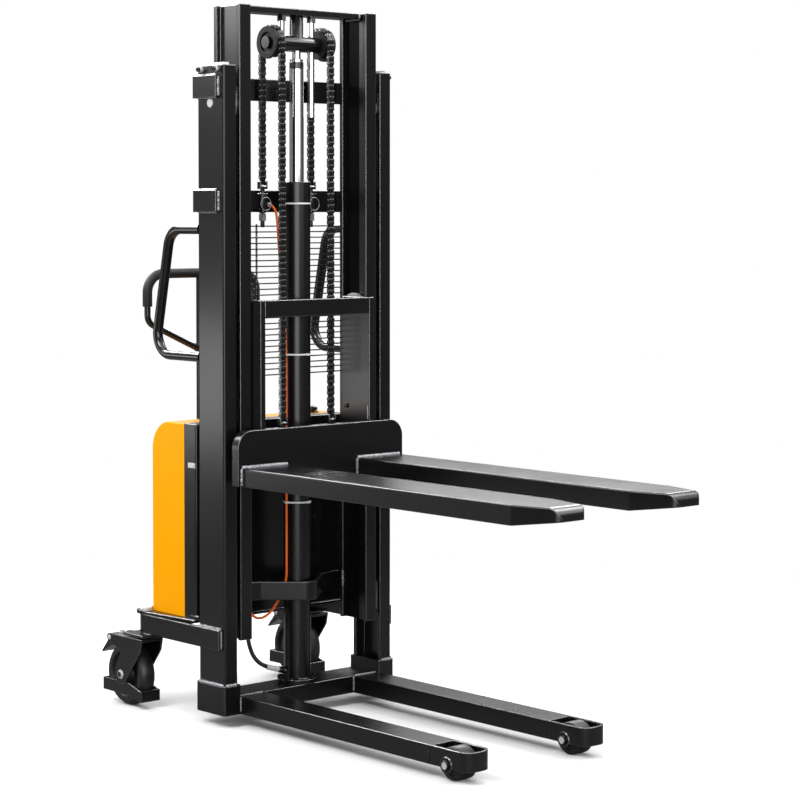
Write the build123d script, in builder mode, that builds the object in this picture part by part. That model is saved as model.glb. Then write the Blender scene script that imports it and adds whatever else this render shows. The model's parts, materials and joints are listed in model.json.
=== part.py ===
"""Semi-electric stacker: a two-stage lifting mast on straddle legs, with a fork carriage and a power pack.

Sizes are in millimetres. +Z is up, the forks point to -Y and X runs across the machine.
The origin is on the floor, under the middle of the machine's outer box.
Places along Y are given as a distance behind the front face of the outer mast.
"""
import os
from math import acos, atan2, cos, degrees, hypot, pi, radians, sin, sqrt, tan

from build123d import *

os.makedirs("parts", exist_ok=True)

SIDES = {"left": -1, "right": 1}

# Clearances
RUN_FIT = 0.05          # radial, shaft in bore
RUN_GAP = 0.3           # between faces that pass each other
SIDE_GAP = 3.0          # beside a moving piece

# Outer mast: two channels that open inwards
MAST_WIDTH = 600.0
MAST_TOP = 1790.0
CHANNEL_DEPTH = 115.0
CHANNEL_FLANGE = 42.0
CHANNEL_WEB = 9.0
CHANNEL_LIP = 10.0
CHANNEL_ROUND = 6.0

# Inner mast: two I-beams between the channels, drawn part of the way up
BEAM_GAP = 14.0
BEAM_FLANGE = 38.0
BEAM_DEPTH = 113.0
BEAM_LIP = 12.0
BEAM_WEB = 10.0
BEAM_BOTTOM = 233.0
BEAM_LENGTH = 1722.0
TOP_BAR_THICK = 17.0
TOP_BAR_DEPTH = 60.0

# Base frame
GROUND_GAP = 34.0
LEG_HEIGHT = 48.0
LEG_WIDTH = 86.0
LEG_WALL = 6.0
LEG_REACH = 757.0       # from the mast front to the wheel bracket
BRACKET_WALL = 7.0
BRACKET_ROUND = 34.0
FOOT_WALL = 5.0
FOOT_LIP = 9.0
FOOT_TOP = 115.0
BASE_FRONT = 5.0
BASE_DEPTH = 105.0

# Load wheels in the leg tips
LOAD_WHEEL_D = 84.0
LOAD_WHEEL_W = 50.0
LOAD_AXLE_R = 10.0
WHEEL_ROOM_BACK = 14.0     # between the load wheel and its bracket
WHEEL_ROOM_FRONT = 28.0
LOAD_BOSS_R = 20.0
LOAD_BOSS_T = 3.0
AXLE_HEAD_R = 12.0
AXLE_HEAD_T = 5.0

# Cross bars that wrap the back of the outer mast
BAR_THICK = 12.0
BAR_HEIGHT = 60.0
BAR_WING_FRONT = 21.0
BAR_ROUND = 10.0
UPPER_BAR_DROP = 87.0       # from the top of the mast to the foot of the bar
MIDDLE_BAR_DROP = 395.0

# Rollers between the mast stages
ROLLER_PIN_R = 12.0
TOP_ROLLER_DROP = 101.0     # below the top of the mast
TOP_ROLLER_W = 26.0
FOOT_ROLLER_RISE = 60.0     # above the foot of the inner mast
FOOT_ROLLER_W = 26.0
CARRIAGE_ROLLER_W = 11.5
LOWER_ROLLER_RISE = 40.0    # above the forks
UPPER_ROLLER_RISE = 412.0

# Lift cylinder
CYLINDER_R = 38.0
CYLINDER_BORE_R = 31.0
CYLINDER_RISE = 84.0        # above the foot of the middle bar
CYLINDER_FLOOR = 20.0
GLAND_DEPTH = 45.0
ROD_R = 20.0
ROD_LENGTH = 1361.0         # from the piston to the collar
PISTON_HEIGHT = 40.0
COLLAR_R = 18.5
COLLAR_DROP = 70.0          # below the crosshead's axis
COLLAR_HEIGHT = 27.0
NECK_R = 12.0
BASE_FLANGE = 112.0
BASE_FLANGE_T = 12.0
PORT_Z = 104.0              # where the port's axis meets the cylinder's
PORT_R = 9.0
PORT_REACH = 58.0
PORT_ANGLE = 162.0          # seen from above, from +X
PORT_PITCH = 15.0

# Crosshead on the rod, and the chain wheels on its ends
POST_LENGTH = 77.0          # from the crosshead's axis to the top bar
CROSSHEAD_R = 22.5
CROSSHEAD_GAP = 2.5         # beside the chain wheels
NECK_SEAT = 11.0            # how far below the crosshead's axis the rod ends
POST_R = 19.0
STUB_R = 12.0
BUSH_WALL = 4.0
CAP_R = 17.0
CAP_T = 5.0
GUIDE_ROD_R = 8.5
GUIDE_ROD_X = 53.0
GUIDE_ROD_LENGTH = 279.0
GUIDE_NUT_R = 13.0
GUIDE_NUT_T = 16.0

# Roller chain: 17 links round a full chain wheel
CHAIN_PITCH = 15.875
CHAIN_COUNT = 17
CHAIN_X = 87.0
LINK_HEIGHT = 12.5
LINK_END = 6.0              # past the pin
LINK_TAPER = 3.6
INNER_HALF = 6.8
PLATE_THICK = 2.2
PLATE_GAP = 0.2
WHEEL_HALF = 10.0           # half of the chain's seat
WHEEL_FLANGE_R = 45.0
WHEEL_INNER_R = 40.0
WHEEL_FLANGE_T = 9.0
WHEEL_INNER_T = 3.5
WHEEL_RECESS_R = 28.0
WHEEL_RECESS = 5.0
FRONT_ANCHOR_RISE = 16.0    # above the fork plate
REAR_ANCHOR_RISE = 81.0     # above the foot of the middle bar

# Chain anchors
ANCHOR_BOLT_R = 6.0
ANCHOR_NUT_R = 11.0
ANCHOR_NUT_T = 10.0
ANCHOR_LUG_HALF = 14.0
FRONT_LUG_T = 18.0
REAR_LUG_T = 44.0
REAR_LUG_DEPTH = 27.0
CLEVIS_CHEEK = 3.0
CLEVIS_BASE = 8.0
CLEVIS_DEPTH = 15.0
CLEVIS_RISE = 5.0
ANCHOR_TAIL = 36.0

# Lower cross member of the inner mast, bent round the front of the cylinder
VEE_FRONT = -18.0           # where its two slopes would meet
VEE_ARM_X = 108.0           # where the slopes turn out to the beams
VEE_ARM_BACK = 85.0
VEE_END_BACK = 108.0
VEE_THICK = 10.0
VEE_ROUND = 32.0
VEE_ARM_ROUND = 20.0
VEE_RISE = 86.0             # above the foot of the inner mast
VEE_HEIGHT = 51.0

# Fork carriage
PLATE_HALF = 295.0
PLATE_FRONT = -54.0
PLATE_THICK_Y = 27.0
PLATE_DROP = 49.0           # below the top of the forks
PLATE_HEIGHT = 148.0
PLATE_ROUND = 47.0
SIDE_THICK = 16.0
SIDE_FRONT = -36.0
SIDE_BACK = 84.0
SIDE_DROP = 5.0             # below the top of the forks
CARRIAGE_RISE = 446.0       # above the top of the forks
CARRIAGE_BAR_HEIGHT = 46.0
CARRIAGE_BAR_DEPTH = 20.0

# Forks: inverted channels that drop over the legs
FORK_LENGTH = 1150.0
FORK_WIDTH = 157.0
FORK_HEIGHT = 50.0
FORK_TOP = 710.0
FORK_WALL = 8.0
FORK_CENTRE = 204.5
FORK_TAPER = 129.0
FORK_TIP_WIDTH = 92.0
FORK_ROUND = 5.0
NOSE_RISE = 17.0            # how far the nose is lifted off the fork's foot
NOSE_DROP = 20.0            # height of the nose's round brow
NOSE_LENGTH = 34.0
NOSE_LEAN = 5.0
NOSE_CORNER = 28.0

# Mesh guard
WIRE_D = 4.0
WIRE_SPACING = 16.0
WIRE_COUNT = 27
MESH_DROP = 39.0            # from the middle bar to the top wire
MESH_STRIP_W = 18.0
MESH_STRIP_T = 5.0
MESH_STRIP_X = 258.0
MESH_POST_X = 90.0

# Side handles
HANDLE_D = 28.0
HANDLE_X = 284.0
HANDLE_DROP = 46.0          # below the middle bar
HANDLE_HEIGHT = 349.0
HANDLE_TOP_BACK = 262.0
HANDLE_BOTTOM_BACK = 336.0
HANDLE_BEND = 58.0

# Rear frame and deck
FRAME_BOTTOM = 212.0
FRAME_HEIGHT = 54.0
FRAME_THICK = 12.0
FRAME_FRONT = 12.0
FRAME_BACK = 401.0
FRAME_ROUND = 40.0
PAD_T = 6.0
PAD_LENGTH = 90.0
DECK_T = 8.0
DECK_HALF = 319.0
DECK_FRONT_HALF = 290.0
DECK_FRONT = 150.0
DECK_BACK = 418.0
DECK_ROUND = 44.0
DECK_CAP_X = 296.0
DECK_CAP_R = 18.0
DECK_CAP_T = 8.0

# Swivel casters
SWIVEL_X = 304.0
SWIVEL_BACK = 369.0
CASTER_WHEEL_D = 180.0
CASTER_WHEEL_W = 50.0
CASTER_TRAIL = 59.0
CASTER_AXLE_R = 8.0
CROWN_TOP = 200.0
CROWN_T = 8.0
CROWN_FRONT = -42.0         # from the swivel axis, as the next ones
CROWN_BACK = 60.0
KNEE_FRONT = -34.0
KNEE_Z = 164.0
NAPE_BACK = 58.0
NAPE_Z = 156.0
YOKE_THICK = 5.0
YOKE_HALF = 37.5
YOKE_EYE_R = 28.0
KING_PIN_R = 10.0
RACE_R = 32.0
GUARD_THICK = 3.5
GUARD_FRONT = -32.0
GUARD_BACK = 152.0
GUARD_LOW = 21.0
GUARD_FRONT_TOP = 53.0
GUARD_REAR_LOW = 34.0
GUARD_REAR_TOP = 69.0
GUARD_STEP_FRONT = -24.0
GUARD_STEP_BACK = 30.0
PEDAL_REACH = 165.0
PEDAL_TIP_Z = 142.0
PEDAL_TIP_T = 4.0
PEDAL_HALF = 28.0
PEDAL_HUB_R = 11.0
PEDAL_ROOT_R = 23.0         # of the lever, under the pin
PEDAL_PIN_R = 5.0
PEDAL_PIN_BACK = 114.0
PEDAL_T = 7.0
ARM_END_R = 12.0

# Power pack housing
HOUSING_HALF = 275.0
HOUSING_TOP = 812.0
HOUSING_WALL = 3.0
CASE_FRONT = 160.0
COVER_FRONT = 214.0
COVER_BACK = 366.0
COVER_ROUND = 80.0
COVER_EDGE = 6.0
PACK_GAP = 20.0             # from the cover to the battery and the tank
BATTERY_SIZE = (250.0, 170.0, 220.0)
TANK_SIZE = (190.0, 160.0, 150.0)
PUMP_SIZE = (96.0, 96.0, 70.0)
MOTOR_R = 54.0
MOTOR_HEIGHT = 170.0
STOP_INSET = 63.0           # from the side of the housing
STOP_BACK = 250.0
STOP_HEAD_R = 18.0
STOP_HEAD_H = 12.0
STOP_STEM_R = 8.0
STOP_STEM = 26.0
STOP_TRAVEL = 6.0

# Tiller behind the housing
TILLER_BACK = 493.0
TILLER_PIVOT_Z = FRAME_BOTTOM + FRAME_HEIGHT / 2
TILLER_TUBE_R = 18.0
TILLER_PIN_R = 8.0
TILLER_HALF = 197.0
TILLER_LOOP_Z = 993.0
TILLER_SHOULDER_Z = 1078.0
TILLER_GRIP_Z = 1124.0
TILLER_TOP_Z = 1218.0
TILLER_ROD_R = 9.0
TILLER_GRIP_R = 14.0
TILLER_BEND = 55.0
EAR_THICK = 8.0
EAR_RISE = 30.0

# Orange sensor cable and black pressure hose: points as (x, distance behind the mast front, z)
CABLE_R = 3.5
CABLE_ROUTE = [
    (-64, 115, 1416), (-64, 94, 1416), (-64, 76, 1405), (-63, 66, 1386), (-60, 62, 1290), (-43.5, 51, 1060),
    (-43.5, 51, 372), (-50, 66, 330),
    (-58, 80, 300), (-70, 94, 275), (-86, 108, 261), (-100, 122, 262), (-110, 137, 282), (-110, 160, 282),
]
HOSE_R = 6.0
HOSE_ROUTE = [
    (-132, 160, 340), (-132, 138, 340), (-132, 121, 322), (-132, 117, 296), (-133, 116, 250), (-131, 115, 205),
    (-122, 108, 165), (-108, 97, 141),
]
CORNER_SHARE = 0.45         # of the shorter run, which a bend may take
FERRULE_R = 7.8
FERRULE_LENGTH = 37.0

# Places worked out from the sizes above
FORK_REACH = FORK_LENGTH - PLATE_FRONT
REAR_REACH = SWIVEL_BACK + PEDAL_REACH
MAST_FRONT = (FORK_REACH - REAR_REACH) / 2
MAST_MID = CHANNEL_DEPTH / 2
OUTER_X = MAST_WIDTH / 2
WEB_IN_X = OUTER_X - CHANNEL_WEB
FLANGE_X = OUTER_X - CHANNEL_FLANGE
BEAM_OUT_X = FLANGE_X - BEAM_GAP
BEAM_IN_X = BEAM_OUT_X - BEAM_FLANGE
BEAM_X = (BEAM_OUT_X + BEAM_IN_X) / 2
BEAM_TOP = BEAM_BOTTOM + BEAM_LENGTH
TOP_BAR_Z = BEAM_TOP - TOP_BAR_THICK
CROSSHEAD_Z = TOP_BAR_Z - POST_LENGTH
COLLAR_BOTTOM = CROSSHEAD_Z - COLLAR_DROP
ROD_BOTTOM = COLLAR_BOTTOM - ROD_LENGTH
GUIDE_ROD_BOTTOM = TOP_BAR_Z - GUIDE_ROD_LENGTH
UPPER_BAR_Z = MAST_TOP - UPPER_BAR_DROP
MIDDLE_BAR_Z = MAST_TOP - MIDDLE_BAR_DROP
TOP_ROLLER_Z = MAST_TOP - TOP_ROLLER_DROP
CYLINDER_TOP = MIDDLE_BAR_Z + CYLINDER_RISE
REAR_ANCHOR_Z = MIDDLE_BAR_Z + REAR_ANCHOR_RISE
LOWER_ROLLER_Z = FORK_TOP + LOWER_ROLLER_RISE
UPPER_ROLLER_Z = FORK_TOP + UPPER_ROLLER_RISE
PLATE_BOTTOM = FORK_TOP - PLATE_DROP
PLATE_TOP = PLATE_BOTTOM + PLATE_HEIGHT
SIDE_BOTTOM = FORK_TOP - SIDE_DROP
CARRIAGE_TOP = FORK_TOP + CARRIAGE_RISE
FRONT_ANCHOR_Z = PLATE_TOP + FRONT_ANCHOR_RISE
LOAD_AXLE_REACH = LEG_REACH + BRACKET_WALL + WHEEL_ROOM_BACK + LOAD_WHEEL_D / 2
BRACKET_REACH = LOAD_AXLE_REACH + LOAD_WHEEL_D / 2 + WHEEL_ROOM_FRONT + BRACKET_WALL
HANDLE_TOP_Z = MIDDLE_BAR_Z - HANDLE_DROP
HANDLE_BOTTOM_Z = HANDLE_TOP_Z - HANDLE_HEIGHT
STOP_X = HOUSING_HALF - STOP_INSET
BATTERY_X = BATTERY_SIZE[0] / 2 + HOUSING_WALL + PACK_GAP - HOUSING_HALF
TANK_X = HOUSING_HALF - HOUSING_WALL - PACK_GAP - TANK_SIZE[0] / 2
BASE_TOP = GROUND_GAP + LEG_HEIGHT
FOOT_IN_X = FLANGE_X - FOOT_LIP
LEG_X = FOOT_IN_X - LEG_WIDTH / 2
SIDE_OUT_X = BEAM_IN_X - SIDE_GAP
SIDE_IN_X = SIDE_OUT_X - SIDE_THICK
BEAM_ROLLER_R = BEAM_DEPTH / 2 - BEAM_LIP - RUN_GAP
CHANNEL_ROLLER_R = CHANNEL_DEPTH / 2 - CHANNEL_LIP - RUN_GAP
FOOT_ROLLER_Z = BEAM_BOTTOM + FOOT_ROLLER_RISE
FRAME_TOP = FRAME_BOTTOM + FRAME_HEIGHT
DECK_TOP = FRAME_TOP + DECK_T
FRAME_X = OUTER_X + FRAME_THICK
PAD_BOTTOM = FRAME_BOTTOM - PAD_T
CASTER_R = CASTER_WHEEL_D / 2
PEDAL_PIN_Z = CROWN_TOP - ARM_END_R
CHAIN_R = CHAIN_PITCH / 2 / sin(pi / CHAIN_COUNT)
CHAIN_FRONT = MAST_MID - CHAIN_R
CHAIN_BACK = MAST_MID + CHAIN_R
PLATE_BACK = PLATE_FRONT + PLATE_THICK_Y
PLATE_HALF_OUT = INNER_HALF + PLATE_GAP + PLATE_THICK
NECK_TOP = CROSSHEAD_Z - NECK_SEAT


def back(distance):
    """Y of a place behind the front face of the outer mast."""
    return MAST_FRONT + distance


def keep(part, node):
    """Label a finished piece and write it."""
    part.label = node
    export_step(part, f"parts/{node}.step")


def side_plane(x):
    """Plane seen from +X, whose own axes are Y and Z."""
    return Plane.YZ.offset(x)


def front_plane(distance):
    """Plane seen from the forks, whose own axes are X and Z; its normal points to -Y."""
    return Plane.XZ.offset(-back(distance))


def behind(points):
    """Side-view points with their distance behind the mast turned into Y."""
    return [(back(distance), z) for distance, z in points]


def route(points):
    """Points of a cord or tube with their distance behind the mast turned into Y."""
    return [Vector(x, back(distance), z) for x, distance, z in points]


def bends(corners):
    """The largest arc that each corner's two runs leave room for."""
    radii = []
    for before, corner, after in zip(corners, corners[1:], corners[2:]):
        turn = radians((corner - before).get_angle(after - corner))
        run = min((corner - before).length, (after - corner).length)
        radii.append(CORNER_SHARE * run / tan(turn / 2))
    print("bend radii", [round(radius) for radius in radii])
    return radii


def touch(middle, radius, point, turn):
    """Where a line from a point touches a circle; turn is 1 or -1 for the two ways round."""
    across, rise = point[0] - middle[0], point[1] - middle[1]
    angle = atan2(rise, across) + turn * acos(radius / hypot(across, rise))
    return middle[0] + radius * cos(angle), middle[1] + radius * sin(angle)


# Outer uprights
for side, sign in SIDES.items():
    with BuildPart() as upright:
        with BuildSketch(Plane.XY.offset(GROUND_GAP + FOOT_WALL)) as channel:
            with Locations((sign * (OUTER_X - CHANNEL_FLANGE / 2), back(MAST_MID))):
                Rectangle(CHANNEL_FLANGE, CHANNEL_DEPTH)
            fillet(channel.vertices().group_by(Axis.X)[-1 if sign > 0 else 0], CHANNEL_ROUND)
            with Locations((sign * (WEB_IN_X - CHANNEL_FLANGE / 2), back(MAST_MID))):
                Rectangle(CHANNEL_FLANGE, CHANNEL_DEPTH - 2 * CHANNEL_LIP, mode=Mode.SUBTRACT)
        extrude(amount=MAST_TOP - GROUND_GAP - FOOT_WALL)
        with Locations((sign * OUTER_X, back(MAST_MID), TOP_ROLLER_Z)):
            Cylinder(ROLLER_PIN_R + RUN_FIT, 3 * CHANNEL_WEB, rotation=(0, 90, 0), mode=Mode.SUBTRACT)
    keep(upright.part, f"mast_upright_{side}")

# Foot blocks: shoes that hold the feet of the uprights
FOOT_OUT_X = OUTER_X + FOOT_WALL
FOOT_DEPTH = CHANNEL_DEPTH + 2 * FOOT_WALL
with BuildPart() as foot_blocks:
    for sign in SIDES.values():
        with Locations((sign * (FOOT_IN_X + FOOT_OUT_X) / 2, back(MAST_MID), (GROUND_GAP + FOOT_TOP) / 2)):
            Box(FOOT_OUT_X - FOOT_IN_X, FOOT_DEPTH, FOOT_TOP - GROUND_GAP)
    chamfer(foot_blocks.edges().filter_by(Axis.Z), FOOT_WALL / 2)
    for sign in SIDES.values():
        with Locations((sign * (FLANGE_X + OUTER_X) / 2, back(MAST_MID), FOOT_TOP + FOOT_WALL)):
            Box(CHANNEL_FLANGE, CHANNEL_DEPTH, 2 * (FOOT_TOP - GROUND_GAP), mode=Mode.SUBTRACT)
keep(foot_blocks.part, "foot_blocks")

# Base cross beam: a box section between the feet
with BuildPart() as base_crossbeam:
    with BuildSketch(side_plane(-FOOT_IN_X)):
        with Locations((back(BASE_FRONT + BASE_DEPTH / 2), GROUND_GAP + LEG_HEIGHT / 2)):
            Rectangle(BASE_DEPTH, LEG_HEIGHT)
            Rectangle(BASE_DEPTH - 2 * LEG_WALL, LEG_HEIGHT - 2 * LEG_WALL, mode=Mode.SUBTRACT)
    extrude(amount=2 * FOOT_IN_X)
keep(base_crossbeam.part, "base_crossbeam")

# Support legs with a horseshoe wheel bracket at the tip
LEG_LENGTH = BRACKET_REACH + BASE_FRONT
POCKET_LENGTH = WHEEL_ROOM_BACK + LOAD_WHEEL_D + WHEEL_ROOM_FRONT
for side, sign in SIDES.items():
    with BuildPart() as leg:
        with BuildSketch(Plane.XY.offset(GROUND_GAP)) as plan:
            with Locations((sign * LEG_X, back((BASE_FRONT - BRACKET_REACH) / 2))):
                Rectangle(LEG_WIDTH, LEG_LENGTH)
            fillet(plan.vertices().group_by(Axis.Y)[0], BRACKET_ROUND)
        extrude(amount=LEG_HEIGHT)
        with BuildSketch(Plane.XY.offset(GROUND_GAP)) as pocket:
            with Locations((sign * LEG_X, back(BRACKET_WALL + POCKET_LENGTH / 2 - BRACKET_REACH))):
                Rectangle(LEG_WIDTH - 2 * BRACKET_WALL, POCKET_LENGTH)
            fillet(pocket.vertices().group_by(Axis.Y)[0], BRACKET_ROUND - BRACKET_WALL)
        extrude(amount=LEG_HEIGHT, mode=Mode.SUBTRACT)
        with Locations((sign * LEG_X, back((BASE_FRONT - LEG_REACH) / 2), GROUND_GAP + (LEG_HEIGHT - LEG_WALL) / 2)):
            Box(LEG_WIDTH - 2 * LEG_WALL, LEG_REACH + BASE_FRONT, LEG_HEIGHT - LEG_WALL, mode=Mode.SUBTRACT)
        with Locations((sign * LEG_X, back(-LOAD_AXLE_REACH), LOAD_WHEEL_D / 2)):
            Cylinder(LOAD_BOSS_R, LEG_WIDTH + 2 * LOAD_BOSS_T, rotation=(0, 90, 0))
            Box(LEG_WIDTH - 2 * BRACKET_WALL, 3 * LOAD_BOSS_R, 3 * LOAD_BOSS_R, mode=Mode.SUBTRACT)
            Cylinder(LOAD_AXLE_R + RUN_FIT, 2 * LEG_WIDTH, rotation=(0, 90, 0), mode=Mode.SUBTRACT)
    keep(leg.part, f"support_leg_{side}")

# Load wheel axles: a bolt with a head at each end
AXLE_HALF = LEG_WIDTH / 2 + LOAD_BOSS_T
with BuildPart() as load_axles:
    for sign in SIDES.values():
        with Locations((sign * LEG_X, back(-LOAD_AXLE_REACH), LOAD_WHEEL_D / 2)):
            Cylinder(LOAD_AXLE_R, 2 * AXLE_HALF, rotation=(0, 90, 0))
            with Locations((AXLE_HALF + AXLE_HEAD_T / 2, 0, 0), (-AXLE_HALF - AXLE_HEAD_T / 2, 0, 0)):
                Cylinder(AXLE_HEAD_R, AXLE_HEAD_T, rotation=(0, 90, 0))
keep(load_axles.part, "load_axles")

# Load wheels: crowned rollers with a hub that reaches the bracket walls
HUB_HALF = LEG_WIDTH / 2 - BRACKET_WALL - RUN_GAP
LOAD_HUB_R = 17.0
LOAD_EDGE = 5.0
LOAD_DISH_R = 30.0
LOAD_DISH = 6.0
for side, sign in SIDES.items():
    with BuildPart() as load_wheel:
        with Locations((sign * LEG_X, back(-LOAD_AXLE_REACH), LOAD_WHEEL_D / 2)):
            Cylinder(LOAD_WHEEL_D / 2, LOAD_WHEEL_W, rotation=(0, 90, 0))
            fillet(load_wheel.edges(), LOAD_EDGE)
            with Locations((LOAD_WHEEL_W / 2, 0, 0), (-LOAD_WHEEL_W / 2, 0, 0)):
                Cylinder(LOAD_DISH_R, 2 * LOAD_DISH, rotation=(0, 90, 0), mode=Mode.SUBTRACT)
            Cylinder(LOAD_HUB_R, 2 * HUB_HALF, rotation=(0, 90, 0))
            Cylinder(LOAD_AXLE_R + RUN_FIT, 2 * LEG_WIDTH, rotation=(0, 90, 0), mode=Mode.SUBTRACT)
    keep(load_wheel.part, f"load_wheel_{side}")

# Cross bars: flat bars bent round the back of both uprights
BAR_DEPTH = CHANNEL_DEPTH + BAR_THICK - BAR_WING_FRONT
for node, bar_z in {"upper_crossbar": UPPER_BAR_Z, "middle_crossbar": MIDDLE_BAR_Z}.items():
    with BuildPart() as crossbar:
        with BuildSketch(Plane.XY.offset(bar_z)) as plan:
            with Locations((0, back(BAR_WING_FRONT + BAR_DEPTH / 2))):
                Rectangle(MAST_WIDTH + 2 * BAR_THICK, BAR_DEPTH)
            fillet(plan.vertices().group_by(Axis.Y)[-1], BAR_ROUND)
            with Locations((0, back(MAST_MID))):
                Rectangle(MAST_WIDTH, CHANNEL_DEPTH, mode=Mode.SUBTRACT)
        extrude(amount=BAR_HEIGHT)
    keep(crossbar.part, node)

# Mesh guard: level wires on two side strips and two thin posts
MESH_HEIGHT = WIRE_SPACING * (WIRE_COUNT - 1)
MESH_Z = MIDDLE_BAR_Z - MESH_DROP - MESH_HEIGHT / 2
WIRE_BACK = CHANNEL_DEPTH + MESH_STRIP_T + WIRE_D / 2
with BuildPart() as mesh_guard:
    with BuildSketch(side_plane(-MESH_STRIP_X - MESH_STRIP_W / 2)):
        with Locations((back(WIRE_BACK), MESH_Z)):
            with GridLocations(0, WIRE_SPACING, 1, WIRE_COUNT):
                RegularPolygon(WIRE_D / 2, 6)
    extrude(amount=2 * MESH_STRIP_X + MESH_STRIP_W)
    with Locations((0, back(CHANNEL_DEPTH + MESH_STRIP_T / 2), MESH_Z)):
        with GridLocations(2 * MESH_STRIP_X, 0, 2, 1):
            Box(MESH_STRIP_W, MESH_STRIP_T, MESH_HEIGHT + 3 * WIRE_D)
    with Locations((0, back(WIRE_BACK + WIRE_D / 2), MESH_Z)):
        with GridLocations(2 * MESH_POST_X, 0, 2, 1):
            Box(WIRE_D, WIRE_D, MESH_HEIGHT + 3 * WIRE_D)
keep(mesh_guard.part, "mesh_guard")

# Side handles: bent tubes behind each upright
for side, sign in SIDES.items():
    with BuildPart() as side_handle:
        with BuildLine(side_plane(sign * HANDLE_X)) as path:
            FilletPolyline(
                *behind([
                    (CHANNEL_DEPTH, HANDLE_TOP_Z),
                    (HANDLE_TOP_BACK, HANDLE_TOP_Z),
                    (HANDLE_BOTTOM_BACK, HANDLE_BOTTOM_Z),
                    (CHANNEL_DEPTH, HANDLE_BOTTOM_Z),
                ]),
                radius=HANDLE_BEND,
            )
        with BuildSketch(Plane(origin=path.line @ 0, z_dir=path.line % 0)):
            Circle(HANDLE_D / 2)
        sweep()
    keep(side_handle.part, f"side_handle_{side}")

# Rear frame: a flat bar bent round the back, caster pads and the tiller's ears
EAR_HALF = TILLER_TUBE_R + RUN_GAP
EAR_LENGTH = TILLER_BACK - FRAME_BACK
with BuildPart() as rear_frame:
    with BuildSketch(Plane.XY.offset(FRAME_BOTTOM)) as band:
        with Locations((0, back((FRAME_FRONT + FRAME_BACK) / 2))):
            Rectangle(2 * FRAME_X, FRAME_BACK - FRAME_FRONT)
        fillet(band.vertices().group_by(Axis.Y)[-1], FRAME_ROUND)
    extrude(amount=FRAME_HEIGHT)
    with BuildSketch(Plane.XY.offset(FRAME_BOTTOM)) as hollow:
        with Locations((0, back((FRAME_FRONT + FRAME_BACK) / 2 - FRAME_THICK))):
            Rectangle(2 * OUTER_X, FRAME_BACK - FRAME_FRONT)
        fillet(hollow.vertices().group_by(Axis.Y)[-1], FRAME_ROUND - FRAME_THICK)
    extrude(amount=FRAME_HEIGHT, mode=Mode.SUBTRACT)
    for sign in SIDES.values():
        with Locations((sign * SWIVEL_X, back(SWIVEL_BACK), PAD_BOTTOM + PAD_T / 2)):
            Box(2 * YOKE_HALF, PAD_LENGTH, PAD_T)
            Cylinder(KING_PIN_R + RUN_FIT, 3 * PAD_T, mode=Mode.SUBTRACT)
    for sign in SIDES.values():
        with BuildSketch(side_plane(sign * (EAR_HALF + EAR_THICK / 2) - EAR_THICK / 2)):
            with Locations((back(FRAME_BACK + EAR_LENGTH / 2), TILLER_PIVOT_Z)):
                Rectangle(EAR_LENGTH, FRAME_HEIGHT)
            with Locations((back(TILLER_BACK), TILLER_PIVOT_Z)):
                Circle(FRAME_HEIGHT / 2)
                Circle(TILLER_PIN_R + RUN_FIT, mode=Mode.SUBTRACT)
        extrude(amount=EAR_THICK)
keep(rear_frame.part, "rear_frame")

# Deck plate with the caps over the casters
with BuildPart() as deck_plate:
    with BuildSketch(Plane.XY.offset(FRAME_TOP)) as plan:
        with BuildLine():
            Polyline(
                (-DECK_FRONT_HALF, back(DECK_FRONT)), (DECK_FRONT_HALF, back(DECK_FRONT)),
                (DECK_HALF, back(DECK_BACK)), (-DECK_HALF, back(DECK_BACK)),
                close=True,
            )
        make_face()
        fillet(plan.vertices().group_by(Axis.Y)[-1], DECK_ROUND)
    extrude(amount=DECK_T)
    with Locations((0, back(SWIVEL_BACK), DECK_TOP + DECK_CAP_T / 2)):
        with GridLocations(2 * DECK_CAP_X, 0, 2, 1):
            Cylinder(DECK_CAP_R, DECK_CAP_T)
keep(deck_plate.part, "deck_plate")

# Housing case: the black front half, open to the cover and to the deck
HOUSING_HEIGHT = HOUSING_TOP - DECK_TOP
with BuildPart() as housing_case:
    with Locations((0, back((CASE_FRONT + COVER_FRONT) / 2), DECK_TOP + HOUSING_HEIGHT / 2)):
        Box(2 * HOUSING_HALF, COVER_FRONT - CASE_FRONT, HOUSING_HEIGHT)
    fillet(housing_case.edges().filter_by(Axis.Z).group_by(Axis.Y)[0], COVER_EDGE)
    with Locations((0, back((CASE_FRONT + COVER_FRONT) / 2 + HOUSING_WALL), DECK_TOP + HOUSING_HEIGHT / 2 - HOUSING_WALL)):
        Box(
            2 * (HOUSING_HALF - HOUSING_WALL), COVER_FRONT - CASE_FRONT, HOUSING_HEIGHT,
            mode=Mode.SUBTRACT,
        )
keep(housing_case.part, "housing_case")


def cover_profile(shrink):
    """Side outline of the cover with its round shoulder, drawn in by a wall."""
    front = back(COVER_FRONT - (1 if shrink else 0))
    rear = back(COVER_BACK - shrink)
    top = HOUSING_TOP - shrink
    low = DECK_TOP - (1 if shrink else 0)
    shoulder = COVER_ROUND - shrink
    with BuildSketch(side_plane(shrink - HOUSING_HALF)) as outline:
        with BuildLine():
            Polyline((rear, top - shoulder), (rear, low), (front, low), (front, top), (rear - shoulder, top))
            RadiusArc((rear - shoulder, top), (rear, top - shoulder), shoulder)
        make_face()
    return outline.sketch


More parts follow.
